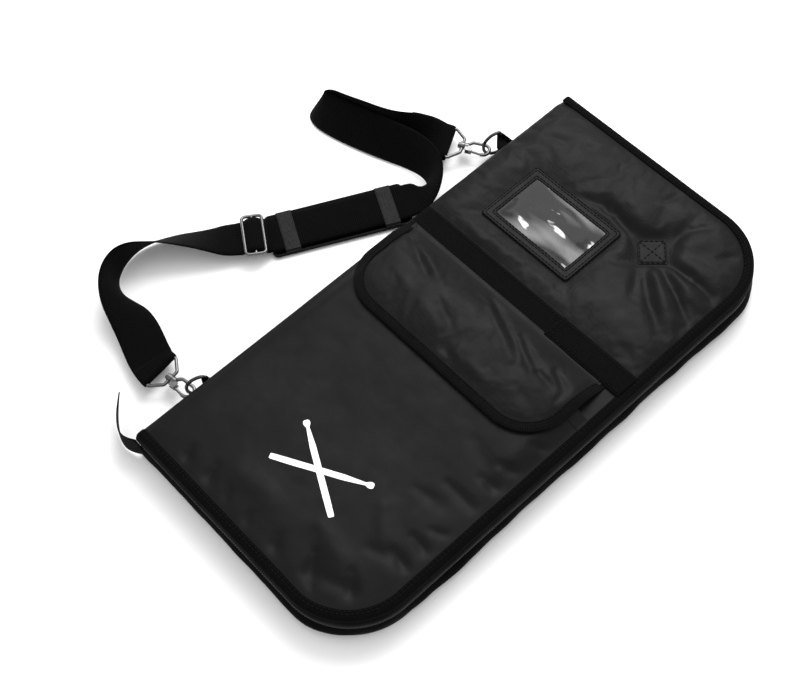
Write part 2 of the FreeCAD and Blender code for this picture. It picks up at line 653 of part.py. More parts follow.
def zip_parts():
    """The slider on the top wall, its pull and the stop behind it."""
    teeth = HALF_L - COIL_WALL[0]
    y = teeth + BODY_GAP
    z = ZIP_MIDDLE
    x = ZIP_SLIDER_X
    half, thick, high = SLIDER_PLATE
    face = y + thick
    body = box((x - half, y, z - high), (x + half, face, z + high))
    reach, rise, width = BRIDGE
    bridge = box((x - reach, face, z - width), (x + reach, face + rise, z + width))
    gap = reach - BRIDGE_WALL
    eye_low = (x - gap, face, z - width - 1)
    bridge = bridge.cut(box(eye_low, (x + gap, face + rise - BRIDGE_WALL, z + width + 1)))
    low = (x - PULL_BAR, y + PULL_STAND, z - PULL_HALF)
    pull = box(low, (x - PULL_BAR + PULL_LENGTH, y + PULL_STAND + PULL_THICK, z + PULL_HALF))
    pull = pull.cut(box((x, y, z - PULL_WINDOW[1]), (x + PULL_WINDOW[0], y + 6, z + PULL_WINDOW[1])))
    stop_x = x - STOP_START
    stop = box((stop_x, teeth, z - STOP_HALF), (stop_x + STOP_LENGTH, teeth + STOP_THICK, z + STOP_HALF))
    return {"zip_slider": body.fuse(bridge).removeSplitter(), "zip_pull": pull, "zip_end_stop": stop}


TAIL = [(-122, -251.8, 16.5), (-131, -257, 14), (-142, -258.5, 13.5), (-153, -253, 15), (-163, -245, 18),
        (-171, -236, 22)]
TAIL_WIDTH = 26.0
TAIL_HALF_THICK = 0.8
CRIMP_HALF = (3.0, 7.0)              # half length and half height
CRIMP_THICK = 0.75
CRIMP_PLACE = (-136.5, -257.8, 14.0)
CRIMP_HEADING = 188.0


def zip_tail():
    """The end of the zip, left long and standing on edge past the spine."""
    points = [V(*p) for p in TAIL]
    sections = []
    for i, point in enumerate(points):
        ahead = (points[min(i + 1, len(points) - 1)] - points[max(i - 1, 0)]).normalize()
        through = V(ahead.y, -ahead.x, 0).normalize() * TAIL_HALF_THICK
        up = V(0, 0, TAIL_WIDTH / 2)
        corners = [point - up - through, point - up + through, point + up + through, point + up - through]
        sections.append(Part.makePolygon(corners + [corners[0]]))
    tape = Part.makeLoft(sections, True, True)
    length, high = CRIMP_HALF
    outer = -TAIL_HALF_THICK - 0.05
    crimp = box((-length, outer - CRIMP_THICK, -high), (length, outer, high))
    crimp = placed(crimp, CRIMP_PLACE, CRIMP_HEADING)
    return {"zip_tail_tape": tape, "zip_tail_crimp": crimp}


# ---------------------------------------------------------------- write every node
def all_nodes():
    nodes = {}
    nodes.update(back_half())
    nodes.update(stick_sleeves())
    nodes.update(cover_shell())
    nodes.update(front_pocket())
    nodes.update(cover_trim())
    nodes.update(cover_inner_pocket())
    nodes.update(pocket_flap())
    nodes.update(clip_sets())
    nodes.update(shoulder_pad())
    nodes["strap_slider"] = strap_slider()
    nodes.update(zip_parts())
    nodes.update(zip_tail())
    nodes.update(strap_runs())
    return nodes


for node, shape in all_nodes().items():
    print(node, shape.isValid(), len(shape.Solids), round(shape.Volume))
    shape.exportStep("parts/" + node + ".step")
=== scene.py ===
"""Looks for the drum stick bag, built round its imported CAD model. Metres, +Z up."""

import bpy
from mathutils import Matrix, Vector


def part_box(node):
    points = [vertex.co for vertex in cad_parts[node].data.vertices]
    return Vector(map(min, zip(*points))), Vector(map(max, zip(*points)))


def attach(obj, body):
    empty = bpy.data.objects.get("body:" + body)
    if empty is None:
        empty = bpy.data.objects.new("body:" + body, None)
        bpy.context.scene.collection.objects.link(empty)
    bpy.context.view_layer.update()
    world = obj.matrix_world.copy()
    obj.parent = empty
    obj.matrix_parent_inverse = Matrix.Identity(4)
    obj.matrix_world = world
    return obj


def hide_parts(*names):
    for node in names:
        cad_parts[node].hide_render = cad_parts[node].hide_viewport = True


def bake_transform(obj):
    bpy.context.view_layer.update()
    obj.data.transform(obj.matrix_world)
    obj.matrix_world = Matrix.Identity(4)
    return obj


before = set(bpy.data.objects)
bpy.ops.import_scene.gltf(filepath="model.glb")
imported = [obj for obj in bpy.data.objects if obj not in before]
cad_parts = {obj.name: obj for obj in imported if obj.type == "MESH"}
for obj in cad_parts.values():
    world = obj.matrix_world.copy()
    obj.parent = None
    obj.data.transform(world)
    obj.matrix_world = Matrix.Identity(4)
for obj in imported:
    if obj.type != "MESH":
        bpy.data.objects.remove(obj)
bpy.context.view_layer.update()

import math
from bisect import bisect_left
from itertools import accumulate
from typing import NamedTuple

import bpy
from mathutils import Matrix, Vector, noise

MM = 0.001
UP = Vector((0, 0, 1))

# ---------------------------------------------------------------- sizes read from the frame
HALF_W, HALF_L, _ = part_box("cover_gusset")[1]
SPINE_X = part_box("spine_panel")[0].x
TOP_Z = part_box("cover_outer_panel")[1].z
BAND_LOW, BAND_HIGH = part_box("flap_band")
OVERLAY_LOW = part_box("band_end_overlay")[0]
WINDOW_LOW, WINDOW_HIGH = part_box("id_window_frame")
PATCH_LOW, PATCH_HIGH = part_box("loop_stitch_patch")
PATCH = (PATCH_LOW + PATCH_HIGH) / 2
POCKET_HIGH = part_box("front_pocket_panel")[1]
FLAP_LOW, FLAP_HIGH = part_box("flap_cloth")
FLAP_LOW -= Vector((1.5 * MM, 3 * MM, 0))     # the bound edge rolls a little past the panel
EMBLEM_LOW, EMBLEM_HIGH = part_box("emblem")
SLEEVE_LOW, SLEEVE_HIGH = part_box("stick_sleeve_panel")
CORNER_R = 62 * MM          # the two corners on the opening side
TAPE_REACH = 8 * MM         # edge tape on the panel
WEBBING = 38 * MM
OUTLINE_STEP = 2.5 * MM
# where the cloth bends when the cover opens: two bodies, and where the bend starts and ends
COVER_HINGE = ("root", "cover", (-0.1275, 0, 0.0265), (-0.1235, 0, 0.0305))


# ---------------------------------------------------------------- mesh helpers
def new_mesh(name, verts, faces, uvs=None, smooth=True):
    mesh = bpy.data.meshes.new(name)
    mesh.from_pydata([tuple(v) for v in verts], [], faces)
    if smooth:
        mesh.polygons.foreach_set("use_smooth", [True] * len(mesh.polygons))
    if uvs is not None:
        layer = mesh.uv_layers.new(name="UVMap")
        for loop in mesh.loops:
            layer.data[loop.index].uv = uvs[loop.vertex_index]
    mesh.update()
    obj = bpy.data.objects.new(name, mesh)
    bpy.context.scene.collection.objects.link(obj)
    return obj


def apply_modifiers(obj):
    graph = bpy.context.evaluated_depsgraph_get()
    mesh = bpy.data.meshes.new_from_object(obj.evaluated_get(graph), depsgraph=graph)
    obj.modifiers.clear()
    obj.data = mesh
    mesh.polygons.foreach_set("use_smooth", [True] * len(mesh.polygons))
    return obj


def subdivide(obj, levels=1):
    modifier = obj.modifiers.new("subdivide", "SUBSURF")
    modifier.levels = modifier.render_levels = levels
    return apply_modifiers(obj)


def thicken(obj, thickness, offset=-1.0):
    modifier = obj.modifiers.new("thicken", "SOLIDIFY")
    modifier.thickness = thickness
    modifier.offset = offset
    return apply_modifiers(obj)


def finish_piece(obj, material, body, replaced=()):
    """Gives a piece its material and hides the CAD nodes it stands for; it is attached to its one body, or
    baked in place when given two.
    """
    obj.data.materials.clear()
    obj.data.materials.append(material)
    if isinstance(body, tuple):
        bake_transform(obj)
    else:
        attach(obj, body)
    if replaced:
        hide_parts(*replaced)
    return obj


def smooth_step(t):
    t = min(max(t, 0.0), 1.0)
    return t * t * (3 - 2 * t)


class Station(NamedTuple):
    """A point on an outline, the outward direction there and the distance run so far."""
    x: float
    y: float
    nx: float
    ny: float
    distance: float

    def at(self, out):
        return self.x + self.nx * out, self.y + self.ny * out


def path_stations(parts, step):
    """Stations along straight parts (start, end, outward) and quarter turns (centre, radius, first angle)."""
    stations = []
    travelled = 0.0
    for first, second, facing in parts:
        turning = isinstance(second, float)
        length = second * math.pi / 2 if turning else (Vector(second) - Vector(first)).length
        count = max(2, round(length / step))
        for i in range(count):
            if turning:
                angle = math.radians(facing + 90 * i / count)
                nx, ny = math.cos(angle), math.sin(angle)
                x, y = first[0] + second * nx, first[1] + second * ny
            else:
                nx, ny = facing
                x, y = Vector(first).lerp(Vector(second), i / count)
            stations.append(Station(x, y, nx, ny, travelled + length * i / count))
        travelled += length
    end, facing = parts[-1][1:]
    return stations + [Station(*end, *facing, travelled)]


def bag_outline():
    """Stations round the three bound sides."""
    x, y = HALF_W - CORNER_R, HALF_L - CORNER_R
    return path_stations([
        ((SPINE_X, -HALF_L), (x, -HALF_L), (0, -1)),
        ((x, -y), CORNER_R, -90),
        ((HALF_W, -y), (HALF_W, y), (1, 0)),
        ((x, y), CORNER_R, 0),
        ((x, HALF_L), (SPINE_X, HALF_L), (0, 1)),
    ], OUTLINE_STEP)


def spaced(points, step):
    """More points along a closed line, about step apart."""
    dense = []
    for a, b in zip(points, points[1:] + points[:1]):
        count = max(1, round(math.dist(a[:2], b[:2]) / step))
        dense += [tuple(p + (q - p) * i / count for p, q in zip(a, b)) for i in range(count)]
    return dense


def loop_stations(centre, half_x, half_y, corner, step):
    """Stations round a rounded rectangle, with mitred corners."""
    ring = []
    for sx, sy, begin in ((1, -1, -90), (1, 1, 0), (-1, 1, 90), (-1, -1, 180)):
        for i in range(7):
            angle = math.radians(begin + 15 * i)
            nx, ny = math.cos(angle), math.sin(angle)
            mitre = max(abs(nx), abs(ny))
            ring.append((centre.x + sx * (half_x - corner) + corner * nx,
                         centre.y + sy * (half_y - corner) + corner * ny, nx / mitre, ny / mitre))
    dense = spaced(ring, step)
    run = running_length([Vector(p[:2]) for p in dense])
    return [Station(*p, travelled) for p, travelled in zip(dense, run)]


def running_length(points):
    """The distance along a line at each of its points."""
    return [0.0, *accumulate((b - a).length for a, b in zip(points, points[1:]))]


def bracket(run, distance):
    """Which stretch of a line holds a distance, and how far along that stretch it lies, 0 to 1."""
    i = min(max(bisect_left(run, distance), 1), len(run) - 1)
    stretch = run[i] - run[i - 1]
    return i - 1, (distance - run[i - 1]) / stretch if stretch else 0.0


def turned(centre, degrees, a, b):
    """The place of a point a, b that is measured in a frame turned about centre."""
    c, s = math.cos(math.radians(degrees)), math.sin(math.radians(degrees))
    return centre.x + c * a - s * b, centre.y + s * a + c * b


def net(rows, columns, start=0, ring=False, loop=False, flip=False, caps=False):
    """Faces over rows of points. ring closes each row, loop joins the last row to the first."""
    faces = []
    for i in range(rows if loop else rows - 1):
        a, b = start + i * columns, start + (i + 1) % rows * columns
        for j in range(columns if ring else columns - 1):
            k = (j + 1) % columns
            faces.append((a + j, b + j, b + k, a + k) if flip else (a + j, a + k, b + k, b + j))
    if caps:
        first = range(start, start + columns)
        last = range(start + (rows - 1) * columns, start + rows * columns)
        faces.append(tuple(first if flip else reversed(first)))
        faces.append(tuple(reversed(last) if flip else last))
    return faces


def sweep(name, stations, section, closed=True, loop=False, measured=True):
    """A profile of (outward, z) pairs carried along stations: a tube if closed, else a sheet.

    The weave's cross coordinate is measured along the profile, or else straight outward.
    """
    verts, uvs = [], []
    for station in stations:
        profile = section(station)
        run = 0.0
        for j, (out, z) in enumerate(profile):
            if j:
                run += math.hypot(out - profile[j - 1][0], z - profile[j - 1][1])
            verts.append((*station.at(out), z))
            uvs.append((run if measured else out, station.distance))
    faces = net(len(stations), len(profile), ring=closed, loop=loop, flip=True, caps=closed and not loop)
    return new_mesh(name, verts, faces, uvs)


def edge_distance(x, y):
    """How far a point lies inside the outline, on its three bound sides."""
    dx, dy = x - (HALF_W - CORNER_R), abs(y) - (HALF_L - CORNER_R)
    if dx > 0 and dy > 0:
        return CORNER_R - math.hypot(dx, dy)
    return min(HALF_W - x, HALF_L - abs(y))


def grid(name, x0, x1, y0, y1, step, height, keep=None, wrap=True):
    """A square net of points over a rectangle, kept where keep(x, y) says so, wrapped over the spine."""
    nx = max(2, round((x1 - x0) / step))
    ny = max(2, round((y1 - y0) / step))
    index, verts, faces, uvs = {}, [], [], []
    for j in range(ny + 1):
        for i in range(nx + 1):
            x = x0 + (x1 - x0) * i / nx
            y = y0 + (y1 - y0) * j / ny
            if keep is None or keep(x, y):
                index[i, j] = len(verts)
                place_x, z = over_spine(x, height(x, y)) if wrap else (x, height(x, y))
                verts.append((place_x, y, z))
                uvs.append((x, y))
    for j in range(ny):
        for i in range(nx):
            corners = [(i, j), (i + 1, j), (i + 1, j + 1), (i, j + 1)]
            if all(c in index for c in corners):
                faces.append(tuple(index[c] for c in corners))
    return new_mesh(name, verts, faces, uvs)


SETTLE_FRAMES = 16
CLOTH_SETTINGS = {
    "quality": 6, "mass": 0.25, "tension_stiffness": 18, "compression_stiffness": 18, "shear_stiffness": 6,
    "bending_stiffness": 0.6, "tension_damping": 6, "compression_damping": 6, "air_damping": 4,
    "vertex_group_mass": "sewn", "pin_stiffness": 1.0, "use_pressure": True, "uniform_pressure_force": 1.5,
}
COVER_SLACK = 0.005         # how much longer the cloth is than the panel it is sewn to
FLAP_SLACK = 0.004
BUCKLE_LIMIT = 3 * MM


def cloth_relax(obj, pinned, slack, floor=None):
    """Lets a sewn panel buckle under a little slack and pressure, then keeps the shape."""
    rest = [v.co.copy() for v in obj.data.vertices]
    group = obj.vertex_groups.new(name="sewn")
    for i, co in enumerate(rest):
        weight = pinned(co.x, co.y)
        if weight > 0:
            group.add([i], weight, "REPLACE")
    cloth = obj.modifiers.new("cloth", "CLOTH")
    for key, value in CLOTH_SETTINGS.items():
        setattr(cloth.settings, key, value)
    cloth.settings.shrink_min = -slack
    cloth.settings.effector_weights.gravity = 0
    cloth.collision_settings.use_collision = False
    cloth.point_cache.frame_start = 1
    cloth.point_cache.frame_end = SETTLE_FRAMES
    scene = bpy.context.scene
    scene.frame_start, scene.frame_end = 1, SETTLE_FRAMES
    for number in range(1, SETTLE_FRAMES + 1):
        scene.frame_set(number)
    graph = bpy.context.evaluated_depsgraph_get()
    moved = [v.co.copy() for v in obj.evaluated_get(graph).data.vertices]
    obj.modifiers.clear()
    scene.frame_set(1)
    for i, vertex in enumerate(obj.data.vertices):
        shift = moved[i] - rest[i]
        if shift.length > BUCKLE_LIMIT:
            shift *= BUCKLE_LIMIT / shift.length
        vertex.co = rest[i] + shift
        if floor is not None:
            vertex.co.z = max(vertex.co.z, min(floor, rest[i].z))
    obj.data.update()
    return obj


STITCH_TAPER = ((0, 0.35), (0.25, 1.0), (0.75, 1.0), (1, 0.35))       # place along it, girth there
STITCH_LIFT = 0.35 * MM     # middle of a stitch above the cloth
HEXAGON = [(math.cos(math.radians(angle)), math.sin(math.radians(angle))) for angle in range(0, 360, 60)]


def stitches(name, lines, closed=False, length=2.6 * MM, gap=1.3 * MM, radius=0.32 * MM):
    """One piece that holds short raised stitches along several lines of points."""
    verts, faces = [], []
    for line in lines:
        points = [Vector(p) for p in line]
        if closed:
            points.append(points[0])
        run = running_length(points)

        def at(distance):
            i, t = bracket(run, distance)
            return points[i].lerp(points[i + 1], t)

        count = max(1, int(run[-1] / (length + gap)))
        pitch = run[-1] / count
        for number in range(count):
            begin = number * pitch + gap / 2
            a, b = at(begin), at(begin + pitch - gap)
            side = (b - a).normalized().cross(UP).normalized() * radius
            faces += net(len(STITCH_TAPER), len(HEXAGON), len(verts), ring=True, caps=True)
            for t, scale in STITCH_TAPER:
                verts += [a.lerp(b, t) + side * c * scale + UP * radius * s * scale for c, s in HEXAGON]
    return new_mesh(name, verts, faces)


# ---------------------------------------------------------------- materials
class Nodes:
    """A small wrapper that keeps each material's node code short."""

    def __init__(self, name, colour, roughness, specular=0.5, sheen=(0.0, 0.5)):
        self.material = bpy.data.materials.new(name)
        self.material.use_nodes = True
        self.tree = self.material.node_tree
        self.shader = self.tree.nodes["Principled BSDF"]
        self.shader.inputs["Base Color"].default_value = (*colour, 1)
        self.shader.inputs["Roughness"].default_value = roughness
        self.shader.inputs["Specular IOR Level"].default_value = specular
        self.shader.inputs["Sheen Weight"].default_value = sheen[0]
        self.shader.inputs["Sheen Roughness"].default_value = sheen[1]
        self.coords = self.tree.nodes.new("ShaderNodeTexCoord")

    def node(self, kind, **inputs):
        made = self.tree.nodes.new(kind)
        for key, value in inputs.items():
            self.set(made.inputs[key.replace("_", " ").title()], value)
        return made

    def set(self, target, value):
        """Links an output to a socket, or gives the socket a plain value."""
        if isinstance(value, bpy.types.NodeSocket):
            self.tree.links.new(value, target)
        else:
            target.default_value = value

    def noise(self, scale, detail=3.0, roughness=0.55, stretch=None, source="Object"):
        vector = self.coords.outputs[source]
        if stretch:
            vector = self.node("ShaderNodeMapping", vector=vector, scale=stretch).outputs["Vector"]
        made = self.node("ShaderNodeTexNoise", vector=vector, scale=scale, detail=detail, roughness=roughness)
        return made.outputs["Fac"]

    def ribs(self, period, axis, source="Object"):
        """Fine parallel ribs with the given spacing, in metres."""
        wave = self.node("ShaderNodeTexWave", vector=self.coords.outputs[source],
                         scale=2 * math.pi / (20 * period))
        wave.bands_direction = axis
        return wave.outputs["Fac"]

    def math(self, kind, a, b):
        made = self.tree.nodes.new("ShaderNodeMath")
        made.operation = kind
        for socket, value in zip(made.inputs, (a, b)):
            self.set(socket, value)
        return made.outputs["Value"]

    def spread(self, fac, low=0.0, high=1.0):
        """Noise, which keeps near its middle, spread over a range."""
        made = self.node("ShaderNodeMapRange", value=fac, from_min=0.3, from_max=0.7, to_min=low, to_max=high)
        return made.outputs["Result"]

    def mix_colour(self, fac, low, high):
        made = self.tree.nodes.new("ShaderNodeMix")
        made.data_type = "RGBA"
        for key, value in (("Factor", fac), ("A", (*low, 1)), ("B", (*high, 1))):
            self.set(made.inputs[key], value)
        self.set(self.shader.inputs["Base Color"], made.outputs["Result"])

    def vary_roughness(self, fac, low, high):
        self.set(self.shader.inputs["Roughness"], self.spread(fac, low, high))

    def bump(self, height, distance, strength=1.0, **before):
        made = self.node("ShaderNodeBump", height=height, strength=strength, distance=distance, **before)
        self.set(self.shader.inputs["Normal"], made.outputs["Normal"])
        return made.outputs["Normal"]


def scaled(colour, factor):
    return tuple(channel * factor for channel in colour)


def coated_cloth(name, colour, roughness, crinkle=0.25 * MM, weave=0.9 * MM, specular=0.08):
    """Woven polyester with a soft coated sheen, fine weave and small crinkles."""
    n = Nodes(name, colour, roughness, specular, sheen=(0.02, 0.4))
    blotch = n.noise(22.0, 4.0)
    n.mix_colour(n.spread(blotch), scaled(colour, 0.82), scaled(colour, 1.25))
    n.vary_roughness(n.noise(60.0, 5.0), roughness - 0.05, roughness + 0.07)
    across = n.math("MULTIPLY", n.ribs(weave, "X"), n.ribs(weave, "Y"))
    fine = n.bump(n.math("ADD", across, n.ribs(weave, "Z")), 0.05 * MM, 0.55)
    n.bump(n.noise(70.0, 4.0, 0.6), crinkle, 0.5, normal=fine)
    return n.material


def ribbed_cloth(name, colour, period, depth=0.22 * MM, roughness=0.7, fuzz_scale=900.0, specular=0.045):
    """Webbing or edge tape: cross ribs by length, a little colour change between yarns."""
    n = Nodes(name, colour, roughness, specular, sheen=(0.01, 0.5))
    ribs = n.ribs(period, "Y", "UV")
    yarns = n.ribs(period * 1.7, "X", "UV")
    both = n.math("ADD", ribs, n.math("MULTIPLY", yarns, 0.45))
    fuzz = n.noise(fuzz_scale, 3.0)
    blotch = n.math("MULTIPLY", n.noise(110.0, 4.0, 0.7), 0.35)
    shade = n.math("ADD", n.math("MULTIPLY", ribs, fuzz), blotch)
    n.mix_colour(n.spread(shade), scaled(colour, 0.4), scaled(colour, 2.2))
    n.bump(fuzz, 0.1 * MM, 0.3, normal=n.bump(both, depth, 0.8))
    return n.material


def plated_wire(name, colour, roughness):
    """Nickel plate: bright, with faint polishing marks."""
    n = Nodes(name, colour, roughness)
    n.shader.inputs["Metallic"].default_value = 1.0
    n.vary_roughness(n.noise(240.0, 4.0, 0.6), roughness - 0.05, roughness + 0.12)
    n.mix_colour(n.spread(n.noise(90.0)), scaled(colour, 0.86), colour)
    n.bump(n.noise(500.0, 3.0), 0.03 * MM, 0.3)
    return n.material


def clear_film():
    """Glossy soft vinyl over grey card, with painted reflection streaks and a few painted bright highlights
    in its colour.
    """
    n = Nodes("window_film", (0.06, 0.06, 0.062), 0.14, specular=0.04)
    broad = n.noise(24.0, 2.0, 0.45, stretch=(0.5, 1.6, 1.0))
    # painted reflection: brighter diagonal streaks in the base colour stand in for the film's wavy
    # reflections
    painted_reflection_streak = n.spread(n.math("MULTIPLY", broad, n.math("MULTIPLY", broad, 1.9)), -0.12, 0.22)
    # painted highlights: a few near-white spots in the base colour stand in for bright glints
    painted_glint = n.spread(n.noise(58.0, 2.0, 0.5, stretch=(0.6, 1.5, 1.0)), -5.0, 1.6)
    n.mix_colour(n.math("MAXIMUM", painted_reflection_streak, painted_glint), (0.028, 0.028, 0.029), (0.7, 0.7, 0.71))
    n.vary_roughness(n.noise(40.0, 3.0), 0.08, 0.2)
    n.bump(n.noise(38.0, 1.5, 0.4, stretch=(0.5, 1.5, 1.0)), 2.0 * MM, 0.8)
    return n.material


def thread_material(name, colour):
    n = Nodes(name, colour, 0.6, specular=0.1)
    n.mix_colour(n.spread(n.noise(700.0)), scaled(colour, 0.7), scaled(colour, 1.3))
    n.bump(n.ribs(0.5 * MM, "DIAGONAL"), 0.08 * MM, 0.6)
    return n.material


def moulded(name, colour, roughness):
    n = Nodes(name, colour, roughness)
    n.vary_roughness(n.noise(300.0), roughness - 0.06, roughness + 0.1)
    n.mix_colour(n.spread(n.noise(120.0)), scaled(colour, 0.85), scaled(colour, 1.15))
    n.bump(n.noise(800.0, 2.0), 0.05 * MM, 0.4)
    return n.material


CLOTH = coated_cloth("coated_cloth", (0.0042, 0.0042, 0.0045), 0.46)
FLAP_CLOTH = coated_cloth("flap_coated_cloth", (0.0040, 0.0040, 0.0043), 0.46, 0.35 * MM)
# painted shade: the side cloths are much darker copies of the cover cloth, standing in for the shade on the
# bag's sides
SHADED_SIDE_CLOTH = coated_cloth("side_cloth", (0.0014, 0.0014, 0.0015), 0.65, 0.2 * MM, 0.7 * MM, specular=0.03)
SHADED_BACK_CLOTH = coated_cloth("back_cloth", (0.0016, 0.0016, 0.0017), 0.6, 0.3 * MM, 0.7 * MM, specular=0.03)
LINING = coated_cloth("lining_cloth", (0.03, 0.03, 0.034), 0.5, 0.2 * MM, 0.6 * MM)
TAPE = ribbed_cloth("edge_tape", (0.0010, 0.0010, 0.0011), 1.5 * MM, 0.4 * MM, 0.8, fuzz_scale=500.0)
FLAP_EDGE = ribbed_cloth("flap_tape", (0.0022, 0.0022, 0.0023), 1.5 * MM, 0.4 * MM, 0.75, fuzz_scale=500.0)
BAND = ribbed_cloth("band_webbing", (0.0013, 0.0013, 0.0014), 1.5 * MM, 0.4 * MM, 0.8, fuzz_scale=450.0)
STRAP = ribbed_cloth("strap_webbing", (0.0008, 0.0008, 0.0008), 1.9 * MM, 0.3 * MM, 0.85)
PAD_CLOTH = ribbed_cloth("pad_cloth", (0.0003, 0.0003, 0.0003), 1.1 * MM, 0.15 * MM, 0.9, specular=0.02)
KEEPER = ribbed_cloth("keeper_band", (0.0155, 0.0155, 0.016), 1.2 * MM, 0.15 * MM, 0.6)
KEEPER_EDGE = ribbed_cloth("pad_piping", (0.015, 0.015, 0.016), 1.2 * MM, 0.1 * MM, 0.55)
PILE = ribbed_cloth("hook_and_loop", (0.007, 0.007, 0.007), 0.8 * MM, 0.3 * MM, 0.85)
WIRE = plated_wire("nickel_wire", (0.13, 0.13, 0.134), 0.25)
DARK_WIRE = plated_wire("dark_nickel_wire", (0.06, 0.06, 0.063), 0.3)
ZIP_METAL = plated_wire("zip_metal", (0.16, 0.16, 0.165), 0.3)
FILM = clear_film()
THREAD = thread_material("black_thread", (0.0026, 0.0026, 0.0028))
DARK_THREAD = thread_material("dark_thread", (0.001, 0.001, 0.001))
PRINT = moulded("white_print", (0.86, 0.86, 0.86), 0.55)
COIL = moulded("zip_coil", (0.006, 0.006, 0.0065), 0.35)


# ---------------------------------------------------------------- cover surface
def segment_distance(x, y, ax, ay, bx, by):
    """Distance to a segment, and how far along it the nearest point lies, 0 to 1."""
    dx, dy = bx - ax, by - ay
    t = ((x - ax) * dx + (y - ay) * dy) / (dx * dx + dy * dy)
    t = min(max(t, 0.0), 1.0)
    return math.hypot(x - ax - dx * t, y - ay - dy * t), t


# Folds: start, end, half width and height in millimetres; a negative height is a valley.
UPPER_FOLDS = [
    ((-66, 163), (-41, 170), 6, -2.0), ((-41, 170), (-21, 182), 6, -2.8), ((-21, 182), (-4, 183), 6, -3.2),
    ((-4, 183), (24, 176), 6, -3.6), ((-30, 194), (4, 197), 9, 1.6), ((4, 197), (30, 192), 8, 1.8),
    ((54, 155), (76, 136), 7, -4.4), ((76, 136), (103, 119), 7, -3.6), ((60, 160), (98, 132), 7, 2.6),
    ((64, 167), (84, 158), 5, -3.4), ((84, 158), (114, 142), 5, -3.0), ((70, 173), (110, 160), 6, 2.0),
    ((66, 177), (92, 177), 5, -3.4), ((92, 177), (117, 174), 5, -2.2), ((66, 186), (104, 190), 7, 2.0),
    ((50, 194), (49, 223), 6, -3.0), ((62, 200), (78, 222), 8, 1.6), ((49, 150), (66, 128), 5, -2.6),
    ((38, 158), (24, 138), 7, -1.6), ((-105, 199), (-70, 216), 6, -1.5), ((-70, 216), (-35, 234), 6, -1.3),
    ((-118, 180), (-92, 200), 6, -0.9), ((90, 209), (98, 222), 4, -1.8), ((55, 216), (62, 229), 4, -1.6),
    ((18, 222), (22, 238), 4, -1.3), ((108, 133), (122, 129), 4, -1.6), ((103, 157), (120, 154), 4, -1.6),
    ((80, 90), (114, 82), 5, -1.4), ((14, 92), (64, 86), 6, -1.0), ((-92, 82), (-30, 86), 6, 0.9),
]
POCKET_FOLDS = [
    ((80, -100), (118, -101), 5, -1.8), ((66, -121), (90, -117), 5, -1.4),
    ((92, -169), (118, -173), 5, -2.1),
    ((100, -136), (118, -128), 4, -1.6), ((-8, -229), (-2, -243), 4, -1.6),
    ((-34, -227), (-30, -243), 4, -1.4),
    ((70, -234), (80, -243), 4, -1.6), ((78, -181), (100, -172), 6, -1.6), ((60, -150), (104, -186), 9, 1.4),
    ((98, -60), (118, -54), 5, -2.4), ((96, -78), (118, -76), 5, -2.2), ((104, -30), (120, -22), 4, -2.1),
    ((-58, -222), (-52, -242), 6, -2.2), ((-84, -226), (-78, -243), 5, -1.9),
    ((22, -226), (30, -242), 6, -2.2),
    ((52, -214), (66, -232), 6, -2.6), ((84, -204), (100, -220), 6, -2.6), ((94, -150), (118, -152), 5, -2.4),
    ((40, -196), (84, -206), 10, 2.2), ((-40, -212), (20, -206), 12, 1.9),
    ((-112, -214), (-70, -150), 18, 1.4),
    ((92, -214), (60, -228), 6, -1.4), ((70, -60), (118, -78), 8, -1.3),
]
FLAP_FOLDS = [
    ((-116, 40), (-70, 18), 5, -2.6), ((-108, 24), (-84, 22), 5, -1.8), ((-84, 22), (-54, 15), 5, -1.8),
    ((-98, 36), (-60, 24), 4, 1.8), ((-90, 2), (-50, -6), 6, 1.3), ((-50, -6), (-14, -14), 6, 1.5),
    ((-44, 8), (-8, -8), 5, -1.6), ((-14, 43), (14, 31), 4, -2.4), ((14, 31), (42, 19), 4, -2.0),
    ((-10, 34), (40, 10), 4, 1.8), ((29, 34), (64, 16), 4, -2.2), ((64, 16), (92, 14), 4, -1.8),
    ((34, 26), (74, 6), 4, 1.6), ((72, 28), (98, 18), 4, -1.8), ((15, -32), (44, -28), 5, -1.4),
    ((4, -18), (46, -20), 5, 1.4), ((-15, -13), (4, -28), 5, -1.5), ((60, -6), (92, -12), 6, -1.4),
]


def fold_height(x, y, folds):
    total = 0.0
    for (ax, ay), (bx, by), half, height in folds:
        d, t = segment_distance(x, y, ax * MM, ay * MM, bx * MM, by * MM)
        reach = half * MM * (0.75 + 0.5 * t)
        if d < 3 * reach:
            ends = 0.45 + 0.55 * math.sin(math.pi * min(max(t, 0.08), 0.92))
            total += height * MM * math.exp(-(d / reach) ** 2) * ends
    return total


def ripple(x, y, scale, height, seed=0.0):
    return height * noise.fractal(Vector((x * scale, y * scale, seed)), 0.9, 2.1, 3)


def rectangle_distance(x, y, low, high):
    dx = max(low.x - x, 0, x - high.x)
    dy = max(low.y - y, 0, y - high.y)
    return math.hypot(dx, dy)


PATCH_HALF = 12.5 * MM
PATCH_TURN = 45             # degrees, the patch's sides to the bag's


def patch_distance(x, y):
    """Distance from the square patch, whose sides lie at 45 degrees to the bag."""
    u = abs((x - PATCH.x) + (y - PATCH.y)) / math.sqrt(2)
    v = abs((x - PATCH.x) - (y - PATCH.y)) / math.sqrt(2)
    return math.hypot(max(u - PATCH_HALF, 0), max(v - PATCH_HALF, 0))


def sewn_distance(x, y):
    """Distance to the nearest seam on the upper part of the cover."""
    return min(
        edge_distance(x, y) - TAPE_REACH + 1 * MM,
        rectangle_distance(x, y, WINDOW_LOW, WINDOW_HIGH),
        patch_distance(x, y) * 0.8,
        y - BAND_HIGH.y + 2 * MM,
        x - SPINE_X + 3 * MM,
    )


FOLD_R = 5 * MM
FOLD_X = SPINE_X + FOLD_R - 1 * MM


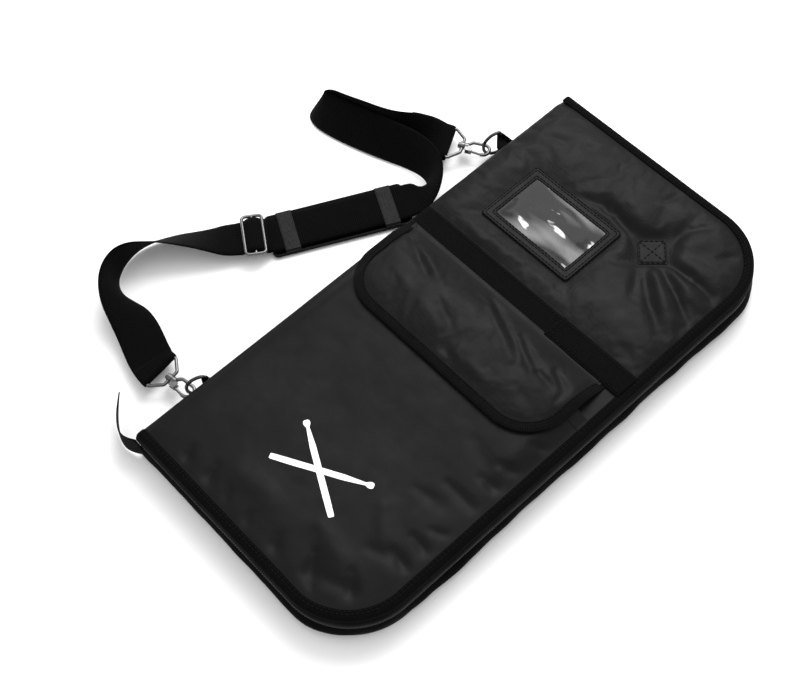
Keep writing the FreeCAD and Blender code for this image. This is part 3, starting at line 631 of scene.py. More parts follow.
def over_spine(u, height):
    """Point on the cloth where u runs across the cover and then down the spine."""
    if u >= FOLD_X:
        return u, height
    run = FOLD_X - u
    quarter = FOLD_R * math.pi / 2
    if run < quarter:
        angle = run / FOLD_R
        return FOLD_X - FOLD_R * math.sin(angle), height - FOLD_R * (1 - math.cos(angle))
    z = height - FOLD_R - (run - quarter)
    bulge = 1.2 * MM * math.sin(math.pi * min(max(z / TOP_Z, 0), 1))
    return FOLD_X - FOLD_R - bulge, z


def spine_roll(x):
    """The cloth lies lower towards the spine."""
    d = x - SPINE_X
    reach = 16 * MM
    return -1.5 * MM * (1 - smooth_step(d / reach)) if d < reach else 0.0


PATCH_DIMPLE = 2.2 * MM      # how far the stitches pull the patch down


def upper_height(x, y):
    away = max(sewn_distance(x, y), 0.0)
    puff = 4.6 * MM * (1 - math.exp(-away / (12 * MM)))
    swell = smooth_step(away / (8 * MM))
    dimple = PATCH_DIMPLE * math.exp(-(patch_distance(x, y) / (8 * MM)) ** 2)
    creases = fold_height(x, y, UPPER_FOLDS) + ripple(x, y, 26, 0.5 * MM) + ripple(x, y, 75, 0.18 * MM, 3.0)
    return TOP_Z - dimple + puff + swell * creases + spine_roll(x)


def pocket_rise(y):
    """Flat at the bottom, bulging towards the mouth."""
    return 5.0 * MM * smooth_step((y + 0.120) / 0.105)


def pocket_height(x, y):
    inner = edge_distance(x, y) - TAPE_REACH
    left = x - SPINE_X
    away = max(min(inner, left), 0.0)
    swell = smooth_step(away / (12 * MM))
    puff = 2.0 * MM * (1 - math.exp(-away / (10 * MM)))
    side = smooth_step(min(inner, left + 2 * MM) / (20 * MM))
    creases = (fold_height(x, y, POCKET_FOLDS) + ripple(x, y, 14, 0.7 * MM, 7.0)
               + ripple(x, y, 60, 0.14 * MM, 9.0))
    return TOP_Z + 0.4 * MM + puff + pocket_rise(y) * side + swell * creases + spine_roll(x)


# ---------------------------------------------------------------- cover pieces
SPINE_RUN = FOLD_X - FOLD_R * math.pi / 2 - (TOP_Z - FOLD_R - 1 * MM)
PANEL_STEP = 2.2 * MM
UNDER_POCKET_DROP = 3 * MM       # keeps the cloth clear of the pocket's valleys


def cover_cloth_height(x, y):
    if y > BAND_HIGH.y - 2 * MM:
        return upper_height(max(x, FOLD_X), y)
    covered = smooth_step((POCKET_HIGH.y - y) / (20 * MM)) * smooth_step((x - FOLD_X) / (10 * MM))
    return TOP_Z + 0.3 * MM - UNDER_POCKET_DROP * covered


def build_cover_cloth():
    cloth = grid("cover_cloth", SPINE_RUN, HALF_W, -HALF_L, HALF_L, PANEL_STEP, cover_cloth_height,
                 lambda x, y: edge_distance(x, y) >= (4 * MM if x > FOLD_X else 1 * MM))
    cloth_relax(cloth, lambda x, y: 1.0 if sewn_distance(x, y) < 3 * MM else 0.0, COVER_SLACK,
                TOP_Z - UNDER_POCKET_DROP)
    finish_piece(subdivide(cloth), CLOTH, COVER_HINGE, ["cover_outer_panel", "cover_foam_pad", "spine_panel"])


def build_pocket():
    mouth = POCKET_HIGH.y
    cloth = grid("pocket_cloth", SPINE_RUN, HALF_W, -HALF_L, mouth, PANEL_STEP,
                 lambda x, y: pocket_height(max(x, FOLD_X), y),
                 lambda x, y: edge_distance(x, y) >= (3.4 * MM if x > FOLD_X else 1 * MM))
    finish_piece(thicken(subdivide(cloth), 0.8 * MM), CLOTH, COVER_HINGE, ["front_pocket_panel"])
    hem = grid("pocket_hem", FOLD_X, HALF_W - 4 * MM, mouth - 12 * MM, mouth + 0.6 * MM, 2 * MM,
               lambda x, y: pocket_height(x, y) + 0.35 * MM)
    finish_piece(thicken(subdivide(hem), 1.4 * MM), CLOTH, "cover", ["front_pocket_hem"])


def band_height(x, y):
    middle = (BAND_LOW.y + BAND_HIGH.y) / 2
    half = (BAND_HIGH.y - BAND_LOW.y) / 2
    across = abs(y - middle) / half
    return (TOP_Z + 1.5 * MM - 0.7 * MM * across ** 6 + ripple(x, y, 30, 0.25 * MM, 5.0)
            + spine_roll(x) * 0.6)


OVERLAY_RISE = 1.1 * MM      # the band's second layer over the first


def build_band():
    end = HALF_W - TAPE_REACH
    band = grid("flap_band_webbing", SPINE_RUN + 8 * MM, end + 2 * MM, BAND_LOW.y, BAND_HIGH.y,
                2.4 * MM, lambda x, y: band_height(max(x, FOLD_X), y))
    finish_piece(thicken(subdivide(band), 1.4 * MM), BAND, COVER_HINGE, ["flap_band"])
    overlay = grid("band_end_webbing", OVERLAY_LOW.x, end + 2 * MM, BAND_LOW.y - 0.5 * MM,
                   BAND_HIGH.y + 0.5 * MM, 2.4 * MM, lambda x, y: band_height(x, y) + OVERLAY_RISE)
    finish_piece(thicken(subdivide(overlay), 1.6 * MM), BAND, "cover", ["band_end_overlay"])
    low, high = BAND_LOW.y + 2.5 * MM, BAND_HIGH.y - 2.5 * MM
    rows = [((x0, y), (x1, y), lift, 40) for y in (low, high)
            for x0, x1, lift in ((FOLD_X, OVERLAY_LOW.x, 0), (OVERLAY_LOW.x, end, OVERLAY_RISE))]
    rows += [((OVERLAY_LOW.x + inset, low), (OVERLAY_LOW.x + inset, high), OVERLAY_RISE, 8)
             for inset in (2.5 * MM, 5.5 * MM)]
    lines = []
    for (x0, y0), (x1, y1), lift, count in rows:
        places = [(x0 + (x1 - x0) * i / count, y0 + (y1 - y0) * i / count) for i in range(count + 1)]
        lines.append([(x, y, band_height(x, y) + lift + STITCH_LIFT) for x, y in places])
    finish_piece(stitches("band_stitching", lines), DARK_THREAD, "cover")


def tape_wave(distance, seed):
    return noise.noise(Vector((distance * 28, seed, 0.0)))


def cover_tape_section(station):
    lift = 0.35 * MM * tape_wave(station.distance, 1.0)
    inner = -TAPE_REACH + 0.4 * MM * tape_wave(station.distance, 4.0)
    top = TOP_Z + 1.3 * MM + lift
    return [(inner, TOP_Z - 0.4 * MM), (inner - 0.2 * MM, top - 0.9 * MM), (inner + 0.6 * MM, top - 0.1 * MM),
            (inner + 3.0 * MM, top), (-2.4 * MM, top - 0.1 * MM), (-0.4 * MM, top - 0.6 * MM),
            (0.9 * MM, top - 1.6 * MM), (1.3 * MM, top - 2.9 * MM), (1.0 * MM, top - 4.2 * MM),
            (0.3 * MM, top - 4.5 * MM), (-1.5 * MM, top - 4.3 * MM)]


def back_tape_section(station):
    lift = 0.2 * MM * tape_wave(station.distance, 2.0)
    inner = -TAPE_REACH + 0.4 * MM * tape_wave(station.distance, 6.0)
    return [(inner, 1.4 * MM), (inner, 0.4 * MM), (inner + 0.8 * MM, 0.05 * MM), (-1.5 * MM, 0.05 * MM),
            (0.4 * MM, 0.5 * MM), (1.3 * MM, 1.6 * MM), (1.2 * MM, 3.0 * MM + lift),
            (0.4 * MM, 3.9 * MM + lift), (-1.5 * MM, 3.8 * MM)]


def build_edge_tapes():
    stations = bag_outline()
    for name, section, body, node in (("cover_edge_tape", cover_tape_section, "cover", "cover_edge_binding"),
                                      ("back_edge_tape", back_tape_section, "root", "back_edge_binding")):
        finish_piece(subdivide(sweep(name, stations, section)), TAPE, body, [node])
    lines = [[(*s.at(-TAPE_REACH + inset), TOP_Z + 1.45 * MM + 0.35 * MM * tape_wave(s.distance, 1.0))
              for s in stations] for inset in (1.8 * MM, 4.0 * MM)]
    finish_piece(stitches("cover_tape_stitching", lines), THREAD, "cover")


def gusset_wave(distance, seed, height):
    return height * noise.fractal(Vector((distance * 13, seed, 0.0)), 0.8, 2.0, 3)


SIDE_ROWS = 8
SIDE_INSET = -0.6 * MM      # where the side cloth is sewn, outward from the outline


def side_section(top, bottom, bulge, wave, seed, least=-math.inf):
    """Side cloth between two heights, bulging outward by an uneven amount, never under least."""
    def section(station):
        rows = []
        for i in range(SIDE_ROWS + 1):
            t = i / SIDE_ROWS
            out = (bulge + gusset_wave(station.distance, seed, wave)) * math.sin(math.pi * t) ** 0.8
            rows.append((SIDE_INSET + max(out, least), top + (bottom - top) * t))
        return rows
    return section


def zip_strip_section(low, high, out=0.2 * MM):
    """The flat zip tape, with its two edges rounded off."""
    return lambda station: [(out - 0.5 * MM, high), (out, high - 0.2 * MM), (out, low + 0.2 * MM),
                            (out - 0.5 * MM, low), (out - 1.2 * MM, low), (out - 1.2 * MM, high)]


def build_sides():
    stations = bag_outline()
    cover = side_section(TOP_Z - 2.8 * MM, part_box("upper_zip_tape")[1].z, 1.6 * MM, 1.0 * MM, 3.0)
    back = side_section(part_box("lower_zip_tape")[0].z, 2.6 * MM, 3.2 * MM, 2.2 * MM, 8.0, least=0.3 * MM)
    # both side cloths take the darker copies of the cloth, with painted shade for the sides
    for name, section, material, body, node, slot in (
            ("cover_side_cloth", cover, SHADED_SIDE_CLOTH, "cover", "cover_gusset", "gusset"),
            ("back_side_cloth", back, SHADED_BACK_CLOTH, "root", "back_gusset", "cloth")):
        side = subdivide(sweep(name, stations, section, closed=False))
        finish_piece(thicken(side, 1.0 * MM), material, body, [node])
    for half, body in (("upper", "cover"), ("lower", "root")):
        node = half + "_zip_tape"
        low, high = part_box(node)
        tape = sweep(node + "_cloth", stations, zip_strip_section(low.z - 0.6 * MM, high.z + 0.6 * MM))
        finish_piece(tape, TAPE, body, [node])
        node = half + "_zip_teeth"
        low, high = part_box(node)
        row = teeth(node + "_coil", stations, low.z, high.z, 0.5 if half == "upper" else 0.0)
        finish_piece(row, COIL, body, [node])


TOOTH_PITCH = 2.2 * MM
TOOTH_HALF = (0.75 * MM, 1.2 * MM)      # along the zip, and out from the bag
TOOTH_SHAPE = ((-1, -0.9), (-1, 0.5), (-0.5, 0.9), (0.5, 0.9), (1, 0.5), (1, -0.9))


def teeth(name, stations, low, high, offset):
    """Separate moulded teeth at an even pitch, each a small bevelled block."""
    verts, faces = [], []
    run = [s.distance for s in stations]
    along, proud = TOOTH_HALF
    for number in range(int(run[-1] / TOOTH_PITCH)):
        i, t = bracket(run, (number + offset) * TOOTH_PITCH)
        x, y, nx, ny, _ = (p + (q - p) * t for p, q in zip(stations[i], stations[i + 1]))
        place = Vector((x, y, 0))
        out = Vector((nx, ny, 0)).normalized()
        side = Vector((-out.y, out.x, 0))
        faces += net(3, len(TOOTH_SHAPE), len(verts), ring=True, caps=True)
        for z, grow in ((low, 0.8), ((low + high) / 2, 1.0), (high, 0.8)):
            for s, o in TOOTH_SHAPE:
                verts.append(place + side * s * along * grow + out * o * proud * grow + UP * z)
    return new_mesh(name, verts, faces)


WINDOW_BORDER = 10 * MM


def window_lift(x, y):
    return ripple(x, y, 40, 0.25 * MM, 11.0)


def build_window():
    """The card window: a cloth border with two double rows of stitching round a film."""
    centre = (WINDOW_LOW + WINDOW_HIGH) / 2
    outer_x, outer_y, _ = (WINDOW_HIGH - WINDOW_LOW) / 2
    base = TOP_Z + 0.5 * MM
    h = WINDOW_BORDER / 2

    def frame_section(station):
        top = base + window_lift(station.x, station.y)
        return [(-h, base - 0.3 * MM), (-h, top + 0.9 * MM), (-h + 0.7 * MM, top + 1.3 * MM),
                (-1 * MM, top + 1.1 * MM), (1 * MM, top + 1.1 * MM),
                (h - 0.7 * MM, top + 1.4 * MM), (h, top + 0.9 * MM), (h, base - 0.5 * MM)]

    middle = loop_stations(centre, outer_x - h, outer_y - h, 1.5 * MM, 2.5 * MM)
    ring = subdivide(sweep("window_border", middle, frame_section, loop=True, measured=False))
    finish_piece(ring, CLOTH, "cover", ["id_window_frame"])
    reach_x, reach_y = outer_x - WINDOW_BORDER + 2 * MM, outer_y - WINDOW_BORDER + 2 * MM
    film = grid("window_film", centre.x - reach_x, centre.x + reach_x, centre.y - reach_y, centre.y + reach_y,
                1.4 * MM, film_height)
    finish_piece(subdivide(film), FILM, "cover", ["id_window_film"])
    lines = []
    for inset in (0.9 * MM, 2.9 * MM, WINDOW_BORDER - 2.6 * MM, WINDOW_BORDER - 0.7 * MM):
        loop = loop_stations(centre, outer_x - inset, outer_y - inset, 1.2 * MM, 3 * MM)
        lines.append([(s.x, s.y, base + 1.5 * MM + window_lift(s.x, s.y)) for s in loop])
    rows = stitches("window_stitching", lines, closed=True, length=3.4 * MM, gap=0.5 * MM, radius=0.42 * MM)
    finish_piece(rows, DARK_THREAD, "cover")


def film_height(x, y):
    centre = (WINDOW_LOW + WINDOW_HIGH) / 2
    dx, dy = x - centre.x, y - centre.y
    wave = 0.9 * MM * math.sin(dx * 95 + dy * 40) + 0.5 * MM * math.sin(dx * 40 - dy * 130 + 1.0)
    edge = min(42 * MM - abs(dx), 26 * MM - abs(dy))
    swell = (wave + 1.3 * MM) * smooth_step(edge / (12 * MM))
    return TOP_Z + 1.1 * MM + swell + ripple(x, y, 60, 0.2 * MM, 2.0)


def build_stitch_patch():
    half = PATCH_HALF

    def place(a, b, lift=0.0):
        edge = min(half - abs(a), half - abs(b))
        x, y = turned(PATCH, PATCH_TURN, a, b)
        z = TOP_Z - PATCH_DIMPLE + 0.5 * MM + 0.7 * MM * smooth_step(edge / (3 * MM))
        return x, y, z + ripple(x, y, 50, 0.3 * MM, 12.0) + lift

    count = 20
    steps = [-half + 2 * half * i / count for i in range(count + 1)]
    spots = [(a, b) for b in steps for a in steps]
    patch = new_mesh("loop_patch", [place(a, b) for a, b in spots], net(count + 1, count + 1), spots)
    finish_piece(thicken(subdivide(patch), 0.9 * MM), CLOTH, "cover", ["loop_stitch_patch"])
    inner = half - 1.5 * MM
    corners = [(-inner, -inner), (inner, -inner), (inner, inner), (-inner, inner)]
    lines = []
    for first, second in ((0, 1), (1, 2), (2, 3), (3, 0), (0, 2), (1, 3)):
        (a0, b0), (a1, b1) = corners[first], corners[second]
        lines.append([place(a0 + (a1 - a0) * i / 8, b0 + (b1 - b0) * i / 8, STITCH_LIFT) for i in range(9)])
    finish_piece(stitches("patch_stitching", lines, radius=0.4 * MM), DARK_THREAD, "cover")


STICK_LENGTH = 84 * MM
STICK_OUTLINE = [(-0.5, 2.0), (-0.485, 2.5), (-0.3, 2.7), (0.25, 2.6), (0.42, 1.6), (0.465, 1.3),
                 (0.475, 1.5), (0.49, 2.4), (0.515, 3.0), (0.54, 2.6), (0.55, 1.4)]
# place along the stick as a part of its length, and its half width there in millimetres


def build_emblem():
    """Two crossed sticks printed on the pocket, following its surface."""
    centre = (EMBLEM_LOW + EMBLEM_HIGH) / 2
    knots = [t for t, _ in STICK_OUTLINE]
    rows, across = 90, (-1, -0.5, 0, 0.5, 1)
    verts, faces = [], []
    for degrees in (28, 152):
        faces += net(rows + 1, len(across), len(verts), flip=True)
        for number in range(rows + 1):
            t = -0.5 + 1.05 * number / rows
            i, part = bracket(knots, t)
            h0, h1 = STICK_OUTLINE[i][1], STICK_OUTLINE[i + 1][1]
            half = (h0 + (h1 - h0) * part) * MM
            for side in across:
                x, y = turned(centre, degrees, t * STICK_LENGTH, side * half)
                verts.append((x, y, pocket_height(x, y) + 0.35 * MM))
    finish_piece(new_mesh("stick_emblem", verts, faces), PRINT, "cover", ["emblem"])


# ---------------------------------------------------------------- pocket flap
HINGE_Y = 50 * MM
FLAP_R = 42 * MM
FLAP_TAPE = 9 * MM
FLAP_TOP = HINGE_Y + 3 * MM     # the flap runs this far under the band
FLAP_HINGE = ("cover", "pocket_flap", (0, FLAP_TOP, 0.038), (0, HINGE_Y - 14 * MM, 0.038))


def flap_lift(y):
    """The flap leaves the band low and then rides over the full pocket."""
    return smooth_step((HINGE_Y - y) / (22 * MM))


def flap_edge(x, y):
    """How far inside the flap's outline a point lies, on its three free sides."""
    left, right, low = FLAP_LOW.x, FLAP_HIGH.x, FLAP_LOW.y
    if y < low + FLAP_R:
        for cx, outside in ((left + FLAP_R, x < left + FLAP_R), (right - FLAP_R, x > right - FLAP_R)):
            if outside:
                return FLAP_R - math.hypot(x - cx, y - (low + FLAP_R))
    return min(x - left, right - x, y - low)


def flap_seam(x, y):
    """Distance to the flap's bound edge, or to the line where it leaves the band."""
    return min(flap_edge(x, y), HINGE_Y - y)


def flap_height(x, y):
    edge = flap_edge(x, y)
    inner = max(edge - FLAP_TAPE, 0.0)
    seam = min(inner, max(HINGE_Y - y, 0.0))
    puff = 3.4 * MM * (1 - math.exp(-seam / (10 * MM)))
    swell = smooth_step(seam / (9 * MM))
    rest = TOP_Z + 1.6 * MM + 5.4 * MM * flap_lift(y)
    under = pocket_height(x, min(y, POCKET_HIGH.y)) + 3.2 * MM
    sag = smooth_step((POCKET_HIGH.y + 18 * MM - y) / (18 * MM))
    base = rest + (max(rest, under) - rest) * sag
    creases = (fold_height(x, y, FLAP_FOLDS) + ripple(x, y, 24, 0.4 * MM, 21.0)
               + ripple(x, y, 80, 0.15 * MM, 22.0))
    return base + puff + swell * creases


def flap_outline(step):
    """Stations down the left side, along the bottom and up the right side."""
    left, right, low, turn = FLAP_LOW.x, FLAP_HIGH.x, FLAP_LOW.y, FLAP_LOW.y + FLAP_R
    return path_stations([
        ((left, FLAP_TOP), (left, turn), (-1, 0)),
        ((left + FLAP_R, turn), FLAP_R, 180),
        ((left + FLAP_R, low), (right - FLAP_R, low), (0, -1)),
        ((right - FLAP_R, turn), FLAP_R, 270),
        ((right, turn), (right, FLAP_TOP), (1, 0)),
    ], step)


def flap_tape_section(station):
    def z(out):
        return flap_height(*station.at(out))

    dip = 2 * MM * smooth_step((station.y - HINGE_Y + 10 * MM) / (12 * MM))
    wave = 0.35 * MM * tape_wave(station.distance, 9.0) - dip
    inner = -FLAP_TAPE
    return [(inner, z(inner) - 1.2 * MM), (inner, z(inner) + 0.8 * MM + wave),
            (inner + 0.8 * MM, z(inner) + 1.2 * MM + wave), (-4.5 * MM, z(-4.5 * MM) + 1.3 * MM + wave),
            (-1.2 * MM, z(0) + 1.0 * MM + wave), (0.1 * MM, z(0) + 0.2 * MM), (0.1 * MM, z(0) - 0.9 * MM),
            (-1.2 * MM, z(0) - 1.5 * MM), (-4.5 * MM, z(-4.5 * MM) - 1.9 * MM)]


def build_flap():
    cloth = grid("flap_panel", FLAP_LOW.x, FLAP_HIGH.x, FLAP_LOW.y, FLAP_TOP, 2.0 * MM, flap_height,
                 lambda x, y: flap_edge(x, y) > 3.5 * MM)
    cloth_relax(cloth, lambda x, y: 1.0 if flap_seam(x, y) < FLAP_TAPE + 1 * MM else 0.0, FLAP_SLACK)
    finish_piece(thicken(subdivide(cloth), 1.4 * MM), FLAP_CLOTH, FLAP_HINGE, ["flap_cloth"])
    tape = subdivide(sweep("flap_edge_tape", flap_outline(OUTLINE_STEP), flap_tape_section, measured=False))
    finish_piece(tape, FLAP_EDGE, FLAP_HINGE, ["flap_edge_binding"])
    places = [s.at(-FLAP_TAPE + 1.4 * MM) for s in flap_outline(3 * MM)]
    thread = stitches("flap_stitching", [[(x, y, flap_height(x, y) + 1.5 * MM) for x, y in places]])
    finish_piece(thread, DARK_THREAD, FLAP_HINGE)
    low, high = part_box("flap_closing_patch")
    patch = grid("flap_closure", low.x, high.x, low.y, high.y, 2.5 * MM,
                 lambda x, y: flap_height(x, y) - 1.6 * MM)
    finish_piece(thicken(patch, 0.9 * MM), PILE, "pocket_flap", ["flap_closing_patch"])


# ---------------------------------------------------------------- inside of the bag
LINING_THICK = 0.8 * MM


def bag_sheet(name, start, step, height, inset, material, body, nodes):
    """A sheet over the whole bag, cut to its outline and ending at the spine."""
    sheet = grid(name, SPINE_X - start, HALF_W, -HALF_L, HALF_L, step, height,
                 lambda x, y: edge_distance(x, y) >= inset, wrap=False)
    finish_piece(thicken(sheet, LINING_THICK), material, body, nodes)


def panel(name, node, step, height, thickness, material, body):
    """A sheet over the rectangle of one CAD node."""
    low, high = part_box(node)
    piece = grid(name, low.x, high.x, low.y, high.y, step, height)
    finish_piece(thicken(subdivide(piece), thickness), material, body, [node])


def back_cloth_height(x, y):
    rise = 1.2 * MM * smooth_step(max(edge_distance(x, y) - TAPE_REACH, 0.0) / (20 * MM))
    return 1.15 * MM + rise * (0.5 + ripple(x, y, 9, 0.6, 35.0))


SLEEVES = 3
CHANNEL = (SLEEVE_HIGH.x - SLEEVE_LOW.x) / SLEEVES


def sleeve_height(x, y):
    across = abs(math.sin(math.pi * (x - SLEEVE_LOW.x) / CHANNEL))
    closed = smooth_step((y - SLEEVE_LOW.y) / (14 * MM))
    return (SLEEVE_LOW.z + 0.8 * MM + (SLEEVE_HIGH.z - SLEEVE_LOW.z - 1 * MM) * across ** 0.55 * closed
            + ripple(x, y, 25, 0.4 * MM, 37.0) * across)


def build_inside():
    back_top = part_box("back_lining")[1].z
    cover_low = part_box("cover_lining")[0].z
    bag_sheet("back_lining_cloth", 0.5 * MM, 5 * MM, lambda x, y: back_top + ripple(x, y, 12, 0.5 * MM, 31.0),
              2 * MM, LINING, "root", ["back_lining", "back_foam_pad"])
    bag_sheet("cover_lining_cloth", 0.5 * MM, 5 * MM,
              lambda x, y: cover_low + 0.6 * MM + ripple(x, y, 12, 0.5 * MM, 33.0),
              2 * MM, LINING, "cover", ["cover_lining"])
    bag_sheet("back_cloth", 1 * MM, 3 * MM, back_cloth_height, 4 * MM, CLOTH, "root", ["back_outer_panel"])

    panel("sleeve_cloth", "stick_sleeve_panel", 3 * MM, sleeve_height, LINING_THICK, LINING, "root")
    panel("sleeve_hem", "stick_sleeve_hem", 3 * MM, lambda x, y: sleeve_height(x, y) + 0.7 * MM, 1.2 * MM,
          TAPE, "root")
    lines = []
    for number in range(1, SLEEVES):
        x = SLEEVE_LOW.x + CHANNEL * number
        ys = [SLEEVE_LOW.y + (SLEEVE_HIGH.y - SLEEVE_LOW.y) * i / 40 for i in range(41)]
        lines.append([(x, y, sleeve_height(x, y) + 0.3 * MM) for y in ys])
    finish_piece(stitches("sleeve_stitching", lines), THREAD, "root")

    inner_low, inner_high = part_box("cover_inner_pocket")

    def inner_pocket(x, y):
        full = smooth_step(min(x - inner_low.x, inner_high.x - x, y - inner_low.y) / (16 * MM))
        return cover_low - 0.6 * MM - 3.6 * MM * full + ripple(x, y, 22, 0.5 * MM, 39.0) * full

    panel("inner_pocket_cloth", "cover_inner_pocket", 4 * MM, inner_pocket, LINING_THICK, LINING, "cover")


def build_hanging_loop():
    """A short webbing loop under the stitched patch, inside the cover."""
    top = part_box("inner_hanging_loop")[1].z - 0.4 * MM
    half_w, half_l = 12 * MM, 29 * MM
    verts, uvs = [], []
    rows, columns = 30, 8
    for i in range(rows + 1):
        b = -half_l + 2 * half_l * i / rows
        z = top - 1.0 * MM * math.sin(math.pi * i / rows)
        for k in range(columns + 1):
            a = -half_w + 2 * half_w * k / columns
            verts.append((*turned(PATCH, PATCH_TURN, a, b), z))
            uvs.append((a, b))
    loop = thicken(new_mesh("hanging_loop", verts, net(rows + 1, columns + 1), uvs), 0.9 * MM)
    finish_piece(loop, BAND, "cover", ["inner_hanging_loop"])


# ---------------------------------------------------------------- shoulder strap
# x, y, z and lean: how many degrees the webbing's right-hand edge is tipped up.
STRAP_ROUTE = [
    (-0.1749, -0.1958, 0.012, 180), (-0.187, -0.194, 0.0115, 180), (-0.2015, -0.1892, 0.0115, 176),
    (-0.2172, -0.1842, 0.0115, 169), (-0.2332, -0.181, 0.0125, 157), (-0.2495, -0.180, 0.0150, 136),
    (-0.264, -0.176, 0.0185, 113), (-0.275, -0.1675, 0.0196, 98), (-0.2815, -0.155, 0.0197, 88),
    (-0.2825, -0.142, 0.0195, 75), (-0.280, -0.1295, 0.0185, 62), (-0.274, -0.1165, 0.0172, 52),
    (-0.265, -0.103, 0.0152, 42), (-0.255, -0.091, 0.0132, 34), (-0.2455, -0.080, 0.0108, 23),
    (-0.2366, -0.069, 0.0086, 7), (-0.2203, -0.0459, 0.0076, 7),
    (-0.217, -0.0401, 0.0056, 0), (-0.155, 0.0808, 0.0054, 0), (-0.151, 0.090, 0.009, 18),
    (-0.150, 0.099, 0.0142, 46), (-0.153, 0.1075, 0.0184, 66), (-0.161, 0.1125, 0.019, 70),
    (-0.174, 0.1145, 0.0186, 66), (-0.190, 0.113, 0.0173, 58), (-0.208, 0.108, 0.0165, 52),
    (-0.228, 0.1015, 0.016, 49), (-0.248, 0.095, 0.016, 50), (-0.268, 0.089, 0.0168, 54),
    (-0.2845, 0.086, 0.0173, 56), (-0.293, 0.089, 0.0173, 56), (-0.293, 0.0965, 0.0185, 66),
    (-0.284, 0.103, 0.0193, 75), (-0.268, 0.1075, 0.0196, 76), (-0.250, 0.1135, 0.0196, 79),
    (-0.232, 0.118, 0.0197, 84), (-0.214, 0.1235, 0.0198, 95), (-0.196, 0.132, 0.0168, 132),
    (-0.1781, 0.1443, 0.012, 180),
]
LOWER_RING_HEADING = math.radians(8)
UPPER_RING_HEADING = math.radians(30)
WEBBING_THICK = 1.6 * MM


def spline_points(name, control, resolution=10):
    """The smooth line that a NURBS spline draws from its control points."""
    curve = bpy.data.curves.new(name, "CURVE")
    curve.dimensions = "3D"
    curve.resolution_u = resolution
    spline = curve.splines.new("NURBS")
    spline.points.add(len(control) - 1)
    for point, place in zip(spline.points, control):
        point.co = (*place, 1)
    spline.order_u = 3
    spline.use_endpoint_u = True
    obj = bpy.data.objects.new(name, curve)
    bpy.context.scene.collection.objects.link(obj)
    mesh = bpy.data.meshes.new_from_object(obj)
    points = [v.co.copy() for v in mesh.vertices]
    bpy.data.objects.remove(obj)
    bpy.data.meshes.remove(mesh)
    return points


def heading_axes(heading):
    """Level unit vectors ahead and to the right of a heading."""
    c, s = math.cos(heading), math.sin(heading)
    return Vector((c, s, 0)), Vector((s, -c, 0))


def with_direction(line):
    """Each point of a line with the unit direction there."""
    befores = line[:1] + line[:-1]
    afters = line[1:] + line[-1:]
    return [(point, (after - before).normalized()) for before, point, after in zip(befores, line, afters)]


def across_route(route):
    """The unit vector across the webbing at each control point; its ends lie along the ring bars."""
    found = []
    aheads = [ahead for _, ahead in with_direction([Vector(p[:3]) for p in route])]
    aheads[0] = heading_axes(LOWER_RING_HEADING + math.pi)[0]
    aheads[-1] = heading_axes(UPPER_RING_HEADING)[0]
    for ahead, (*_, lean) in zip(aheads, route):
        right = Vector((ahead.y, -ahead.x, 0)).normalized()
        tip = math.radians(lean)
        found.append(right * math.cos(tip) + UP * math.sin(tip))
    return found


def strap_frames():
    """Centre, width direction and face direction all along the strap."""
    centres = [Vector(p[:3]) for p in STRAP_ROUTE]
    line = spline_points("strap_line", centres)
    edge = spline_points("strap_edge", [c + a * 10 * MM for c, a in zip(centres, across_route(STRAP_ROUTE))])
    frames = []
    for (centre, ahead), side in zip(with_direction(line), edge):
        width = (side - centre).normalized()
        frames.append((centre, width, width.cross(ahead).normalized()))
    return frames


def ribbon(name, frames, width, thickness, crown=0.0, columns=12):
    """Webbing along frames: a flat woven strip with soft edges."""
    verts, uvs = [], []
    run = running_length([f[0] for f in frames])
    for travelled, (centre, across, up) in zip(run, frames):
        for side in (1, -1):
            for k in range(columns + 1):
                t = (2 * k / columns - 1) * side
                edge = 1 - abs(t) ** 8 * 0.45
                bow = crown * (1 - t * t)
                verts.append(centre + across * t * width / 2 + up * (side * thickness / 2 * edge + bow))
                uvs.append((t * width / 2, travelled))
    faces = net(len(frames), 2 * (columns + 1), ring=True, caps=True)
    return new_mesh(name, verts, faces, uvs)


def span(frames, start, end):
    """The frames between two distances along the strap."""
    run = running_length([f[0] for f in frames])
    return [entry for entry, travelled in zip(frames, run) if start <= travelled <= end]


def ring_fold(name, frames, at_start, reach, radius=2.6 * MM):
    """The webbing's end folded round the ring's bar and laid back on itself."""
    if not at_start:
        frames = [(c, -a, u) for c, a, u in reversed(frames)]
    first, across, up = frames[0]
    ahead = across.cross(up).normalized()
    ahead *= math.copysign(1, ahead.dot(frames[1][0] - first))
    bar = first - ahead * 2.4 * MM
    bend = []
    for i in range(13):
        angle = math.radians(90 + 180 * i / 12)
        radial = ahead * math.cos(angle) + up * math.sin(angle)
        bend.append((bar + radial * radius, across, radial))
    top = [(c + u * 1.7 * MM, a, u) for c, a, u in reversed(span(frames, 0, reach))]
    under = [(c - u * 0.2 * MM, a, -u) for c, a, u in span(frames, 3 * MM, 9 * MM)]
    return ribbon(name, top + bend + under, WEBBING - 0.6 * MM, WEBBING_THICK, columns=10)


def build_strap():
    frames = strap_frames()
    strap = ribbon("shoulder_strap", frames, WEBBING, WEBBING_THICK, crown=0.25 * MM)
    finish_piece(strap, STRAP, "root", ["strap_lower_run", "strap_pad_run", "strap_upper_run"])
    pieces = []
    for name, at_start in (("lower_ring_fold", True), ("upper_ring_fold", False)):
        fold = ring_fold(name, frames, at_start, 34 * MM)
        pieces.append(finish_piece(fold, STRAP, "root"))
    pieces += build_pad() + [build_slider_loop()]


CORD_METAL = ["strap_slider", "lower_strap_ring", "lower_snap_hook", "lower_hook_gate",
              "upper_strap_ring", "upper_snap_hook", "upper_hook_gate"]
PAD_START = Vector((-0.2155, -0.0371, 0.0054))
PAD_HEADING = math.radians(62.85)
PAD_LENGTH = 126 * MM
PAD_WIDTH = 44 * MM


